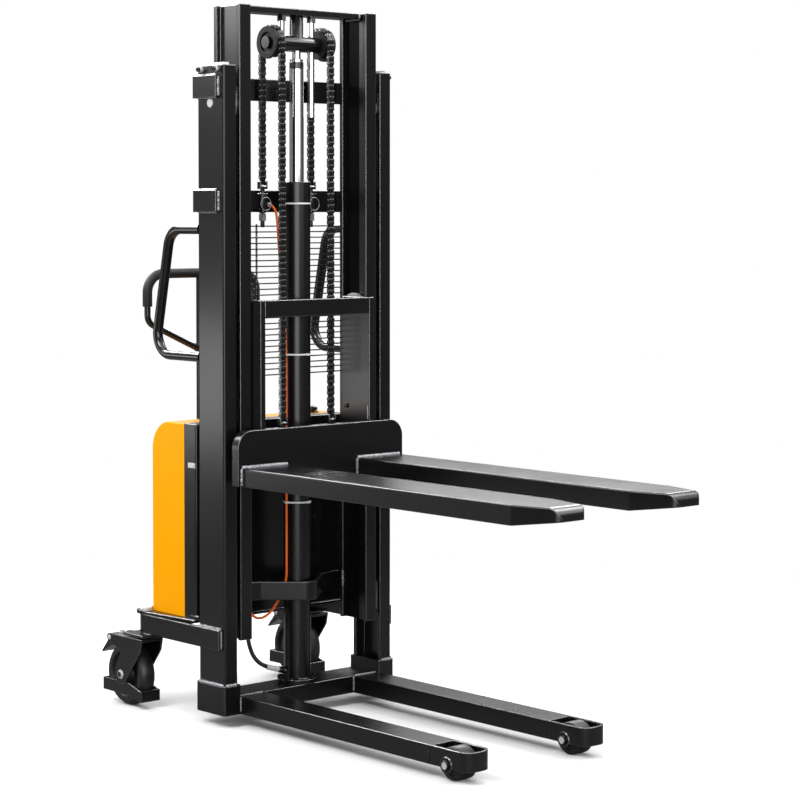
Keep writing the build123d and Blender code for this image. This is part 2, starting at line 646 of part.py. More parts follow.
# Power cover: the yellow rear half
with BuildPart() as power_cover:
    extrude(cover_profile(0), amount=2 * HOUSING_HALF)
    rear_edges = power_cover.faces().sort_by(Axis.X)[0].edges() + power_cover.faces().sort_by(Axis.X)[-1].edges()
    fillet([e for e in rear_edges if e.center().Y > back(COVER_FRONT) + 1 and e.center().Z > DECK_TOP + 1], COVER_EDGE)
    extrude(cover_profile(HOUSING_WALL), amount=2 * (HOUSING_HALF - HOUSING_WALL), mode=Mode.SUBTRACT)
    with Locations((STOP_X, back(STOP_BACK), HOUSING_TOP)):
        Cylinder(STOP_STEM_R + RUN_FIT, 4 * HOUSING_WALL, mode=Mode.SUBTRACT)
keep(power_cover.part, "power_cover")

# Stop button on the cover
with BuildPart() as stop_button:
    with Locations((STOP_X, back(STOP_BACK), HOUSING_TOP + STOP_TRAVEL + STOP_HEAD_H / 2 + RUN_GAP)):
        Cylinder(STOP_HEAD_R, STOP_HEAD_H)
        fillet(stop_button.edges().group_by(Axis.Z)[-1], STOP_HEAD_H / 2)
    with Locations((STOP_X, back(STOP_BACK), HOUSING_TOP + STOP_TRAVEL + RUN_GAP - STOP_STEM / 2)):
        Cylinder(STOP_STEM_R, STOP_STEM)
keep(stop_button.part, "stop_button")

# Power pack inside the housing
PACK_BACK = (CASE_FRONT + COVER_BACK) / 2
with BuildPart() as battery:
    with Locations((BATTERY_X, back(PACK_BACK), DECK_TOP + BATTERY_SIZE[2] / 2)):
        Box(*BATTERY_SIZE)
    fillet(battery.edges().filter_by(Axis.Z), COVER_EDGE)
    with Locations((BATTERY_X, back(PACK_BACK), DECK_TOP + BATTERY_SIZE[2])):
        with GridLocations(BATTERY_SIZE[0] * 0.7, 0, 2, 1):
            Cylinder(STOP_STEM_R, STOP_HEAD_H, align=(Align.CENTER, Align.CENTER, Align.MIN))
keep(battery.part, "battery")

with BuildPart() as oil_tank:
    with Locations((TANK_X, back(PACK_BACK), DECK_TOP + TANK_SIZE[2] / 2)):
        Box(*TANK_SIZE)
    fillet(oil_tank.edges().filter_by(Axis.Z), 2 * COVER_EDGE)
keep(oil_tank.part, "oil_tank")

PUMP_Z = DECK_TOP + TANK_SIZE[2]
with BuildPart() as pump_block:
    with Locations((TANK_X, back(PACK_BACK), PUMP_Z + PUMP_SIZE[2] / 2)):
        Box(*PUMP_SIZE)
    chamfer(pump_block.edges().filter_by(Axis.Z), COVER_EDGE)
keep(pump_block.part, "pump_block")

with BuildPart() as pump_motor:
    with Locations((TANK_X, back(PACK_BACK), PUMP_Z + PUMP_SIZE[2] + MOTOR_HEIGHT / 2)):
        Cylinder(MOTOR_R, MOTOR_HEIGHT)
    fillet(pump_motor.edges().group_by(Axis.Z)[-1], COVER_EDGE)
keep(pump_motor.part, "pump_motor")

# Pins of the top rollers, through the webs of the uprights
PIN_END = 2.0
TOP_ROLLER_X = BEAM_X + BEAM_WEB / 2 + SIDE_GAP + TOP_ROLLER_W / 2
PIN_INNER_X = TOP_ROLLER_X - TOP_ROLLER_W / 2 - PIN_END / 2
with BuildPart() as mast_roller_pins:
    for sign in SIDES.values():
        with Locations((sign * (PIN_INNER_X + OUTER_X + PIN_END) / 2, back(MAST_MID), TOP_ROLLER_Z)):
            Cylinder(ROLLER_PIN_R, OUTER_X + PIN_END - PIN_INNER_X, rotation=(0, 90, 0))
keep(mast_roller_pins.part, "mast_roller_pins")


def roller_pair(node, radius, width, x, z):
    """A left and a right roller that turn about one line across the mast."""
    with BuildPart() as rollers:
        for sign in SIDES.values():
            with Locations((sign * x, back(MAST_MID), z)):
                Cylinder(radius, width, rotation=(0, 90, 0))
        chamfer(rollers.edges(), PIN_END / 2)
        for sign in SIDES.values():
            with Locations((sign * x, back(MAST_MID), z)):
                Cylinder(ROLLER_PIN_R + RUN_FIT, 2 * width, rotation=(0, 90, 0), mode=Mode.SUBTRACT)
    keep(rollers.part, node)


FOOT_ROLLER_X = FLANGE_X + SIDE_GAP + FOOT_ROLLER_W / 2
CARRIAGE_ROLLER_X = BEAM_X - BEAM_WEB / 2 - PIN_END - CARRIAGE_ROLLER_W / 2
roller_pair("mast_rollers", BEAM_ROLLER_R, TOP_ROLLER_W, TOP_ROLLER_X, TOP_ROLLER_Z)
roller_pair("inner_rollers", CHANNEL_ROLLER_R, FOOT_ROLLER_W, FOOT_ROLLER_X, FOOT_ROLLER_Z)
roller_pair("carriage_lower_rollers", BEAM_ROLLER_R, CARRIAGE_ROLLER_W, CARRIAGE_ROLLER_X, LOWER_ROLLER_Z)
roller_pair("carriage_upper_rollers", BEAM_ROLLER_R, CARRIAGE_ROLLER_W, CARRIAGE_ROLLER_X, UPPER_ROLLER_Z)

# Inner beams with the pins of their foot rollers
FOOT_PIN_X = FOOT_ROLLER_X + FOOT_ROLLER_W / 2 + PIN_END / 2
for side, sign in SIDES.items():
    with BuildPart() as inner_beam:
        with BuildSketch(Plane.XY.offset(BEAM_BOTTOM)):
            with Locations((sign * BEAM_X, back(MAST_MID))):
                Rectangle(BEAM_FLANGE, BEAM_DEPTH)
            with Locations((sign * BEAM_X, back(MAST_MID))):
                with GridLocations(BEAM_FLANGE / 2 + BEAM_WEB / 2, 0, 2, 1):
                    Rectangle(
                        BEAM_FLANGE / 2 - BEAM_WEB / 2, BEAM_DEPTH - 2 * BEAM_LIP,
                        mode=Mode.SUBTRACT,
                    )
        extrude(amount=BEAM_LENGTH)
        with Locations((sign * (BEAM_X + FOOT_PIN_X) / 2, back(MAST_MID), FOOT_ROLLER_Z)):
            Cylinder(ROLLER_PIN_R, FOOT_PIN_X - BEAM_X, rotation=(0, 90, 0))
    keep(inner_beam.part, f"inner_beam_{side}")

# Top bar of the inner mast
BEAM_INSIDE = BEAM_X - BEAM_WEB / 2
with BuildPart() as mast_top_beam:
    with Locations((0, back(MAST_MID), TOP_BAR_Z + TOP_BAR_THICK / 2)):
        Box(2 * BEAM_INSIDE, TOP_BAR_DEPTH, TOP_BAR_THICK)
keep(mast_top_beam.part, "mast_top_beam")

# Guide rods under the top bar, which the crosshead slides on
with BuildPart() as guide_rods:
    with Locations((0, back(MAST_MID), GUIDE_ROD_BOTTOM)):
        with GridLocations(2 * GUIDE_ROD_X, 0, 2, 1):
            Cylinder(GUIDE_ROD_R, TOP_BAR_Z - GUIDE_ROD_BOTTOM, align=(Align.CENTER, Align.CENTER, Align.MIN))
    with BuildSketch(Plane.XY.offset(TOP_BAR_Z - GUIDE_NUT_T)):
        with Locations((0, back(MAST_MID))):
            with GridLocations(2 * GUIDE_ROD_X, 0, 2, 1):
                RegularPolygon(GUIDE_NUT_R, 6)
    extrude(amount=GUIDE_NUT_T)
keep(guide_rods.part, "guide_rods")

# Lower cross member: a tall flat bar bent to a vee round the cylinder, with an arm to each beam's rear flange
VEE_SPLAY = (VEE_END_BACK - VEE_ARM_BACK) / (BEAM_IN_X - VEE_ARM_X)
VEE_TAIL_BACK = VEE_END_BACK + VEE_SPLAY * (BEAM_X - BEAM_IN_X)
with BuildPart() as lower_crossmember:
    with BuildSketch(Plane.XY.offset(BEAM_BOTTOM + VEE_RISE)):
        with BuildLine() as bend:
            FilletPolyline(
                (-BEAM_X, back(VEE_TAIL_BACK)), (-VEE_ARM_X, back(VEE_ARM_BACK)), (0, back(VEE_FRONT)),
                (VEE_ARM_X, back(VEE_ARM_BACK)), (BEAM_X, back(VEE_TAIL_BACK)),
                radius=[VEE_ARM_ROUND, VEE_ROUND, VEE_ARM_ROUND],
            )
        trace(line_width=VEE_THICK)
    extrude(amount=VEE_HEIGHT)
    with Locations((0, back(MAST_MID), BEAM_BOTTOM + VEE_RISE)):
        Box(2 * BEAM_IN_X, 2 * CHANNEL_DEPTH, 4 * VEE_HEIGHT, mode=Mode.INTERSECT)
keep(lower_crossmember.part, "lower_crossmember")

# Cylinder barrel with its gland, base flange and oil port
AXIS = Axis((0, back(MAST_MID), 0), (0, 0, 1))
PORT_ROOT = Vector(0, back(MAST_MID), PORT_Z)
PORT_AIM = Vector(
    cos(radians(PORT_ANGLE)) * cos(radians(PORT_PITCH)), sin(radians(PORT_ANGLE)) * cos(radians(PORT_PITCH)),
    sin(radians(PORT_PITCH)),
)
with BuildPart() as cylinder_barrel:
    with BuildSketch(front_plane(MAST_MID)):
        with BuildLine():
            Polyline(
                (0, BASE_TOP), (CYLINDER_R, BASE_TOP), (CYLINDER_R, CYLINDER_TOP),
                (ROD_R + RUN_FIT, CYLINDER_TOP), (ROD_R + RUN_FIT, CYLINDER_TOP - GLAND_DEPTH),
                (CYLINDER_BORE_R, CYLINDER_TOP - GLAND_DEPTH), (CYLINDER_BORE_R, BASE_TOP + CYLINDER_FLOOR),
                (0, BASE_TOP + CYLINDER_FLOOR),
                close=True,
            )
        make_face()
    revolve(axis=AXIS)
    with Locations((0, back(MAST_MID), BASE_TOP + BASE_FLANGE_T / 2)):
        Cylinder(BASE_FLANGE / 2, BASE_FLANGE_T)
    with BuildSketch(Plane(origin=PORT_ROOT, z_dir=PORT_AIM).offset(CYLINDER_BORE_R)):
        Circle(PORT_R)
    extrude(amount=PORT_REACH - CYLINDER_BORE_R)
    with Locations((0, back(MAST_MID), BASE_TOP + CYLINDER_FLOOR)):
        Cylinder(CYLINDER_BORE_R, 4 * PORT_R, align=(Align.CENTER, Align.CENTER, Align.MIN), mode=Mode.SUBTRACT)
keep(cylinder_barrel.part, "cylinder_barrel")

# Piston rod: piston, chromed rod, collar and neck
with BuildPart() as piston_rod:
    with BuildSketch(front_plane(MAST_MID)):
        with BuildLine():
            Polyline(
                (0, ROD_BOTTOM), (CYLINDER_BORE_R - RUN_FIT, ROD_BOTTOM),
                (CYLINDER_BORE_R - RUN_FIT, ROD_BOTTOM + PISTON_HEIGHT), (ROD_R, ROD_BOTTOM + PISTON_HEIGHT),
                (ROD_R, COLLAR_BOTTOM), (COLLAR_R, COLLAR_BOTTOM),
                (COLLAR_R, COLLAR_BOTTOM + COLLAR_HEIGHT), (NECK_R, COLLAR_BOTTOM + COLLAR_HEIGHT),
                (NECK_R, NECK_TOP), (0, NECK_TOP),
                close=True,
            )
        make_face()
    revolve(axis=AXIS)
keep(piston_rod.part, "piston_rod")

# Crosshead: a round bar with wheel stubs, the push post and bores for the guide rods
WHEEL_IN_X = CHAIN_X - WHEEL_HALF - WHEEL_INNER_T
WHEEL_OUT_X = CHAIN_X + WHEEL_HALF + WHEEL_FLANGE_T
CAP_X = WHEEL_OUT_X + RUN_GAP
CROSSHEAD_HALF = WHEEL_IN_X - CROSSHEAD_GAP
with BuildPart() as crosshead_bar:
    with Locations((0, back(MAST_MID), CROSSHEAD_Z)):
        Cylinder(CROSSHEAD_R, 2 * CROSSHEAD_HALF, rotation=(0, 90, 0))
        Cylinder(STUB_R, 2 * CAP_X, rotation=(0, 90, 0))
        with GridLocations(2 * CAP_X + CAP_T, 0, 2, 1):
            Cylinder(CAP_R, CAP_T, rotation=(0, 90, 0))
        Cylinder(POST_R, TOP_BAR_Z - RUN_GAP - CROSSHEAD_Z, align=(Align.CENTER, Align.CENTER, Align.MIN))
        with GridLocations(2 * GUIDE_ROD_X, 0, 2, 1):
            Cylinder(GUIDE_ROD_R + RUN_FIT, 4 * CROSSHEAD_R, mode=Mode.SUBTRACT)
    with Locations((0, back(MAST_MID), NECK_TOP)):
        Cylinder(NECK_R + RUN_FIT, 2 * CROSSHEAD_R, align=(Align.CENTER, Align.CENTER, Align.MAX), mode=Mode.SUBTRACT)
keep(crosshead_bar.part, "crosshead_bar")

# Bushes between the stubs and the chain wheels
with BuildPart() as chain_wheel_bushes:
    with Locations((0, back(MAST_MID), CROSSHEAD_Z)):
        with GridLocations(WHEEL_IN_X + WHEEL_OUT_X, 0, 2, 1):
            Cylinder(STUB_R + BUSH_WALL, WHEEL_OUT_X - WHEEL_IN_X, rotation=(0, 90, 0))
            Cylinder(STUB_R + RUN_FIT, 2 * CHAIN_X, rotation=(0, 90, 0), mode=Mode.SUBTRACT)
keep(chain_wheel_bushes.part, "chain_wheel_bushes")

# Chain wheels: a plain seat between two flanges, dished on the outside
SEAT_R = CHAIN_R * cos(pi / CHAIN_COUNT) - LINK_HEIGHT / 2 - RUN_GAP
BUSH_SEAT_R = STUB_R + BUSH_WALL + RUN_FIT
WHEEL_AXIS = Axis((0, back(MAST_MID), CROSSHEAD_Z), (1, 0, 0))
for side, sign in SIDES.items():
    with BuildPart() as chain_wheel:
        with BuildSketch(Plane(origin=(0, back(MAST_MID), CROSSHEAD_Z), x_dir=(1, 0, 0), z_dir=(0, -1, 0))):
            with BuildLine():
                Polyline(
                    (sign * WHEEL_IN_X, BUSH_SEAT_R), (sign * WHEEL_IN_X, WHEEL_INNER_R),
                    (sign * (CHAIN_X - WHEEL_HALF), WHEEL_INNER_R), (sign * (CHAIN_X - WHEEL_HALF), SEAT_R),
                    (sign * (CHAIN_X + WHEEL_HALF), SEAT_R), (sign * (CHAIN_X + WHEEL_HALF), WHEEL_FLANGE_R),
                    (sign * WHEEL_OUT_X, WHEEL_FLANGE_R), (sign * WHEEL_OUT_X, WHEEL_RECESS_R),
                    (sign * (WHEEL_OUT_X - WHEEL_RECESS), WHEEL_RECESS_R),
                    (sign * (WHEEL_OUT_X - WHEEL_RECESS), BUSH_SEAT_R),
                    close=True,
                )
            make_face()
        revolve(axis=WHEEL_AXIS)
    keep(chain_wheel.part, f"chain_wheel_{side}")

# Chain pins, as distance behind the mast and height, from the carriage over the wheel to the middle cross bar
LINK_ANGLE = 2 * pi / CHAIN_COUNT
WRAP_HALF = 4
wrap_angles = [LINK_ANGLE * (k + 0.5) for k in range(-WRAP_HALF, WRAP_HALF)]
wrap_pins = [(MAST_MID + CHAIN_R * sin(a), CROSSHEAD_Z + CHAIN_R * cos(a)) for a in wrap_angles]
end_angle = wrap_angles[-1]
drop = sqrt(CHAIN_PITCH**2 - (CHAIN_R * (1 - sin(end_angle))) ** 2)
STRAIGHT_TOP = CROSSHEAD_Z + CHAIN_R * cos(end_angle) - drop
FRONT_COUNT = round((STRAIGHT_TOP - FRONT_ANCHOR_Z) / CHAIN_PITCH)
REAR_COUNT = round((STRAIGHT_TOP - REAR_ANCHOR_Z) / CHAIN_PITCH)
front_pins = [(CHAIN_FRONT, STRAIGHT_TOP - k * CHAIN_PITCH) for k in range(FRONT_COUNT, -1, -1)]
rear_pins = [(CHAIN_BACK, STRAIGHT_TOP - k * CHAIN_PITCH) for k in range(REAR_COUNT + 1)]
FRONT_END_Z = front_pins[0][1]
REAR_END_Z = rear_pins[-1][1]

LINK_LENGTH = CHAIN_PITCH + 2 * LINK_END
LINK_OUTLINE = [
    (LINK_LENGTH / 2, 0), (LINK_LENGTH / 2 - LINK_TAPER, LINK_HEIGHT / 2),
    (LINK_TAPER - LINK_LENGTH / 2, LINK_HEIGHT / 2), (-LINK_LENGTH / 2, 0),
    (LINK_TAPER - LINK_LENGTH / 2, -LINK_HEIGHT / 2), (LINK_LENGTH / 2 - LINK_TAPER, -LINK_HEIGHT / 2),
]


def link_places(pins, first):
    """Places of every second link along a run of pins."""
    places = []
    for (y0, z0), (y1, z1) in list(zip(pins, pins[1:]))[first::2]:
        angle = degrees(atan2(z1 - z0, y1 - y0))
        places.append(Location((back((y0 + y1) / 2), (z0 + z1) / 2, 0), (0, 0, angle)))
    return places


def chain_pair(node, pins, first_outer):
    """A left and a right run of chain: outer links are two plates, inner links one block."""
    with BuildPart() as chains:
        for sign in SIDES.values():
            x = sign * CHAIN_X
            with BuildSketch(side_plane(x - INNER_HALF)):
                with Locations(*link_places(pins, 1 - first_outer)):
                    Polygon(*LINK_OUTLINE)
            extrude(amount=2 * INNER_HALF)
            for plate_x in (x - PLATE_HALF_OUT, x + PLATE_HALF_OUT - PLATE_THICK):
                with BuildSketch(side_plane(plate_x)):
                    with Locations(*link_places(pins, first_outer)):
                        Polygon(*LINK_OUTLINE)
                extrude(amount=PLATE_THICK)
    keep(chains.part, node)


over_pins = [front_pins[-1]] + wrap_pins + [rear_pins[0]]
chain_pair("front_chains", front_pins, 0)
chain_pair("chain_wraps", over_pins, FRONT_COUNT % 2)
chain_pair("rear_chains", rear_pins, (FRONT_COUNT + len(over_pins) - 1) % 2)

# Clevises, bolts and lugs that hold the chain ends
CLEVIS_HALF = PLATE_HALF_OUT + RUN_GAP


def clevis(x, chain_place, pin_z):
    """A fork round the last link, on the side away from the chain, and the top of its bolt."""
    base_top = pin_z - LINK_END - SIDE_GAP
    with Locations((x, back(chain_place), base_top - CLEVIS_BASE / 2)):
        Box(2 * (CLEVIS_HALF + CLEVIS_CHEEK), CLEVIS_DEPTH, CLEVIS_BASE)
    with Locations((x, back(chain_place), (base_top + pin_z + CLEVIS_RISE) / 2)):
        with GridLocations(2 * CLEVIS_HALF + CLEVIS_CHEEK, 0, 2, 1):
            Box(CLEVIS_CHEEK, CLEVIS_DEPTH, pin_z + CLEVIS_RISE - base_top)
    return base_top - CLEVIS_BASE


def anchor_bolt(x, chain_place, bolt_top, lug_bottom):
    """The bolt through the lug, with its nut below."""
    with Locations((x, back(chain_place), bolt_top)):
        Cylinder(ANCHOR_BOLT_R, bolt_top - lug_bottom + ANCHOR_TAIL, align=(Align.CENTER, Align.CENTER, Align.MAX))
    with BuildSketch(Plane.XY.offset(lug_bottom - ANCHOR_NUT_T)) as nut:
        with Locations((x, back(chain_place))):
            RegularPolygon(ANCHOR_NUT_R, 6)
    extrude(nut.sketch, amount=ANCHOR_NUT_T)


FRONT_LUG_TOP = FRONT_END_Z - LINK_END - SIDE_GAP - CLEVIS_BASE - ANCHOR_NUT_T
FRONT_LUG_BACK = CHAIN_FRONT + CLEVIS_DEPTH / 2
with BuildPart() as front_chain_anchors:
    for sign in SIDES.values():
        bolt_top = clevis(sign * CHAIN_X, CHAIN_FRONT, FRONT_END_Z)
        with Locations((sign * CHAIN_X, back((PLATE_BACK + FRONT_LUG_BACK) / 2), FRONT_LUG_TOP - FRONT_LUG_T / 2)):
            Box(2 * ANCHOR_LUG_HALF, FRONT_LUG_BACK - PLATE_BACK, FRONT_LUG_T)
        anchor_bolt(sign * CHAIN_X, CHAIN_FRONT, bolt_top, FRONT_LUG_TOP - FRONT_LUG_T)
keep(front_chain_anchors.part, "front_chain_anchors")

REAR_LUG_BOTTOM = MIDDLE_BAR_Z + (BAR_HEIGHT - REAR_LUG_T) / 2
with BuildPart() as rear_chain_anchors:
    for sign in SIDES.values():
        bolt_top = clevis(sign * CHAIN_X, CHAIN_BACK, REAR_END_Z)
        with BuildSketch(Plane.XY.offset(REAR_LUG_BOTTOM)) as lug:
            with Locations((sign * CHAIN_X, back(CHANNEL_DEPTH - REAR_LUG_DEPTH / 2))):
                Rectangle(2 * ANCHOR_LUG_HALF, REAR_LUG_DEPTH)
            fillet(lug.vertices().group_by(Axis.Y)[0], ANCHOR_LUG_HALF * 0.8)
        extrude(amount=REAR_LUG_T)
        anchor_bolt(sign * CHAIN_X, CHAIN_BACK, bolt_top, REAR_LUG_BOTTOM)
keep(rear_chain_anchors.part, "rear_chain_anchors")

# Fork plate with notches that let the legs pass when the forks are down
NOTCH_HALF = LEG_WIDTH / 2 + 2 * SIDE_GAP
NOTCH_TOP = FORK_TOP - FORK_WALL
with BuildPart() as fork_plate:
    with BuildSketch(front_plane(PLATE_BACK)) as outline:
        with Locations((0, (PLATE_BOTTOM + PLATE_TOP) / 2)):
            Rectangle(2 * PLATE_HALF, PLATE_TOP - PLATE_BOTTOM)
        fillet(outline.vertices().group_by(Axis.Y)[-1], PLATE_ROUND)
        with Locations((0, PLATE_BOTTOM)):
            with GridLocations(2 * LEG_X, 0, 2, 1):
                Rectangle(2 * NOTCH_HALF, 2 * (NOTCH_TOP - PLATE_BOTTOM), mode=Mode.SUBTRACT)
    extrude(amount=PLATE_THICK_Y)
keep(fork_plate.part, "fork_plate")

# Carriage sides with their roller pins
PIN_OUT_X = CARRIAGE_ROLLER_X + CARRIAGE_ROLLER_W / 2 + PIN_END / 2
with BuildPart() as carriage_sides:
    for sign in SIDES.values():
        with BuildSketch(side_plane(sign * (SIDE_IN_X + SIDE_THICK / 2) - SIDE_THICK / 2)):
            with BuildLine():
                Polyline(
                    *behind([
                        (PLATE_BACK, SIDE_BOTTOM), (SIDE_BACK, SIDE_BOTTOM), (SIDE_BACK, CARRIAGE_TOP),
                        (SIDE_FRONT, CARRIAGE_TOP), (SIDE_FRONT, PLATE_TOP), (PLATE_BACK, PLATE_TOP),
                    ]),
                    close=True,
                )
            make_face()
        extrude(amount=SIDE_THICK)
        for pin_z in (LOWER_ROLLER_Z, UPPER_ROLLER_Z):
            with Locations((sign * (SIDE_IN_X + PIN_OUT_X) / 2, back(MAST_MID), pin_z)):
                Cylinder(ROLLER_PIN_R, PIN_OUT_X - SIDE_IN_X, rotation=(0, 90, 0))
keep(carriage_sides.part, "carriage_sides")

# Upper bar between the carriage sides
with BuildPart() as carriage_top_bar:
    with Locations((0, back(SIDE_FRONT + CARRIAGE_BAR_DEPTH / 2), CARRIAGE_TOP - CARRIAGE_BAR_HEIGHT / 2)):
        Box(2 * SIDE_IN_X, CARRIAGE_BAR_DEPTH, CARRIAGE_BAR_HEIGHT)
keep(carriage_top_bar.part, "carriage_top_bar")

# Forks: a folded channel, closed at the nose, which tapers, lifts and has a round brow
FORK_BACK = PLATE_FRONT
FORK_TIP = PLATE_FRONT - FORK_LENGTH
FORK_SHOULDER = FORK_TIP + FORK_TAPER
FORK_BOTTOM = FORK_TOP - FORK_HEIGHT
for side, sign in SIDES.items():
    x = sign * FORK_CENTRE
    with BuildPart() as fork:
        with BuildSketch(Plane.XY.offset(FORK_BOTTOM)) as plan:
            with BuildLine():
                Polyline(
                    (x - FORK_WIDTH / 2, back(FORK_BACK)), (x - FORK_WIDTH / 2, back(FORK_SHOULDER)),
                    (x - FORK_TIP_WIDTH / 2, back(FORK_TIP)), (x + FORK_TIP_WIDTH / 2, back(FORK_TIP)),
                    (x + FORK_WIDTH / 2, back(FORK_SHOULDER)), (x + FORK_WIDTH / 2, back(FORK_BACK)),
                    close=True,
                )
            make_face()
            fillet(plan.vertices().group_by(Axis.Y)[0], NOSE_CORNER)
        extrude(amount=FORK_HEIGHT)
        fillet(fork.faces().sort_by(Axis.Z)[-1].edges().group_by(Axis.Y)[:-1], FORK_ROUND)
        with BuildSketch(side_plane(x - FORK_WIDTH)):
            with BuildLine():
                Polyline(
                    *behind([
                        (FORK_TIP + NOSE_LENGTH, FORK_TOP), (FORK_BACK, FORK_TOP), (FORK_BACK, FORK_BOTTOM),
                        (FORK_SHOULDER, FORK_BOTTOM), (FORK_TIP, FORK_BOTTOM + NOSE_RISE),
                        (FORK_TIP + NOSE_LEAN, FORK_TOP - NOSE_DROP),
                    ])
                )
                TangentArc(
                    *behind([(FORK_TIP + NOSE_LENGTH, FORK_TOP), (FORK_TIP + NOSE_LEAN, FORK_TOP - NOSE_DROP)]),
                    tangent=(-1, 0),
                )
            make_face()
        extrude(amount=2 * FORK_WIDTH, mode=Mode.INTERSECT)
        with Locations((x, back((FORK_BACK + FORK_SHOULDER) / 2), FORK_BOTTOM)):
            Box(FORK_WIDTH - 2 * FORK_WALL, FORK_BACK - FORK_SHOULDER, 2 * (FORK_HEIGHT - FORK_WALL), mode=Mode.SUBTRACT)
    keep(fork.part, f"fork_{side}")

# Casters: a yoke with a foot guard, a wheel and a brake pedal, on each side
AXLE_BACK = SWIVEL_BACK + CASTER_TRAIL
YOKE_IN = YOKE_HALF - YOKE_THICK
KNEE = (SWIVEL_BACK + KNEE_FRONT, KNEE_Z)
NAPE = (SWIVEL_BACK + NAPE_BACK, NAPE_Z)
EYE_FRONT = touch((AXLE_BACK, CASTER_R), YOKE_EYE_R, KNEE, 1)
EYE_REAR = touch((AXLE_BACK, CASTER_R), YOKE_EYE_R, NAPE, -1)
GUARD_HALF = YOKE_IN
PIN_BACK = SWIVEL_BACK + PEDAL_PIN_BACK
PAD_FRONT = SWIVEL_BACK + CROWN_BACK + 4 * RUN_GAP
for side, sign in SIDES.items():
    x = sign * SWIVEL_X
    with BuildPart() as caster_yoke:
        with BuildSketch(side_plane(x - YOKE_HALF)):
            with BuildLine():
                Polyline(
                    *behind([
                        EYE_FRONT, KNEE, (SWIVEL_BACK + CROWN_FRONT, CROWN_TOP), (PIN_BACK, CROWN_TOP),
                    ])
                )
                ThreePointArc(
                    *behind([
                        (PIN_BACK, CROWN_TOP), (PIN_BACK + ARM_END_R, PEDAL_PIN_Z), (PIN_BACK, PEDAL_PIN_Z - ARM_END_R),
                    ])
                )
                Polyline(*behind([(PIN_BACK, PEDAL_PIN_Z - ARM_END_R), NAPE, EYE_REAR]))
                ThreePointArc(*behind([EYE_REAR, (AXLE_BACK, CASTER_R - YOKE_EYE_R), EYE_FRONT]))
            make_face()
        extrude(amount=2 * YOKE_HALF)
        with Locations((x, back(SWIVEL_BACK + CROWN_BACK), (CROWN_TOP - CROWN_T) / 2)):
            Box(2 * YOKE_IN, 4 * CASTER_R, CROWN_TOP - CROWN_T, mode=Mode.SUBTRACT)
        with Locations((x, back(SWIVEL_BACK + CROWN_BACK), CROWN_TOP)):
            Box(
                2 * YOKE_IN, CASTER_R, 4 * CROWN_T,
                align=(Align.CENTER, Align.MIN, Align.CENTER), mode=Mode.SUBTRACT,
            )
        with Locations((x, back(SWIVEL_BACK), CROWN_TOP)):
            Cylinder(RACE_R, PAD_BOTTOM - RUN_GAP - CROWN_TOP, align=(Align.CENTER, Align.CENTER, Align.MIN))
            Cylinder(KING_PIN_R, PAD_BOTTOM + PAD_T - RUN_GAP - CROWN_TOP, align=(Align.CENTER, Align.CENTER, Align.MIN))
        with BuildSketch(side_plane(x - GUARD_HALF)):
            with BuildLine():
                Polyline(
                    *behind([
                        (SWIVEL_BACK + GUARD_FRONT, GUARD_LOW), (SWIVEL_BACK + GUARD_STEP_FRONT, GUARD_LOW),
                        (SWIVEL_BACK + GUARD_STEP_BACK, GUARD_REAR_LOW), (SWIVEL_BACK + GUARD_BACK, GUARD_REAR_LOW),
                        (SWIVEL_BACK + GUARD_BACK, GUARD_REAR_TOP), (SWIVEL_BACK + GUARD_STEP_BACK, GUARD_REAR_TOP),
                        (SWIVEL_BACK + GUARD_STEP_FRONT, GUARD_FRONT_TOP), (SWIVEL_BACK + GUARD_FRONT, GUARD_FRONT_TOP),
                    ]),
                    close=True,
                )
            make_face()
        extrude(amount=2 * GUARD_HALF)
        guard_middle = SWIVEL_BACK + (GUARD_FRONT + GUARD_BACK) / 2
        with Locations((x, back(guard_middle), GUARD_REAR_LOW)):
            Box(
                2 * (GUARD_HALF - GUARD_THICK), GUARD_BACK - GUARD_FRONT - 2 * GUARD_THICK, 4 * GUARD_REAR_TOP,
                mode=Mode.SUBTRACT,
            )
        with Locations((x, back(AXLE_BACK), CASTER_R)):
            Cylinder(CASTER_AXLE_R, 2 * YOKE_HALF + 2 * AXLE_HEAD_T, rotation=(0, 90, 0))
        with Locations((x, back(PIN_BACK), PEDAL_PIN_Z)):
            Cylinder(PEDAL_PIN_R, 2 * YOKE_HALF, rotation=(0, 90, 0))
    keep(caster_yoke.part, f"caster_yoke_{side}")

    with BuildPart() as caster_wheel:
        with BuildSketch(Plane(origin=(x, back(AXLE_BACK), CASTER_R), x_dir=(1, 0, 0), z_dir=(0, -1, 0))):
            half = CASTER_WHEEL_W / 2
            hub = GUARD_HALF - GUARD_THICK - RUN_GAP
            with BuildLine():
                Polyline(
                    (half, CASTER_R * 0.86), (half, CASTER_R * 0.72), (half * 0.55, CASTER_R * 0.66),
                    (half * 0.55, CASTER_R * 0.34), (hub, CASTER_R * 0.28), (hub, CASTER_AXLE_R + RUN_FIT),
                    (-hub, CASTER_AXLE_R + RUN_FIT), (-hub, CASTER_R * 0.28), (-half * 0.55, CASTER_R * 0.34),
                    (-half * 0.55, CASTER_R * 0.66), (-half, CASTER_R * 0.72), (-half, CASTER_R * 0.86),
                )
                ThreePointArc((-half, CASTER_R * 0.86), (0, CASTER_R), (half, CASTER_R * 0.86))
            make_face()
        revolve(axis=Axis((x, back(AXLE_BACK), CASTER_R), (1, 0, 0)))
    keep(caster_wheel.part, f"caster_wheel_{side}")

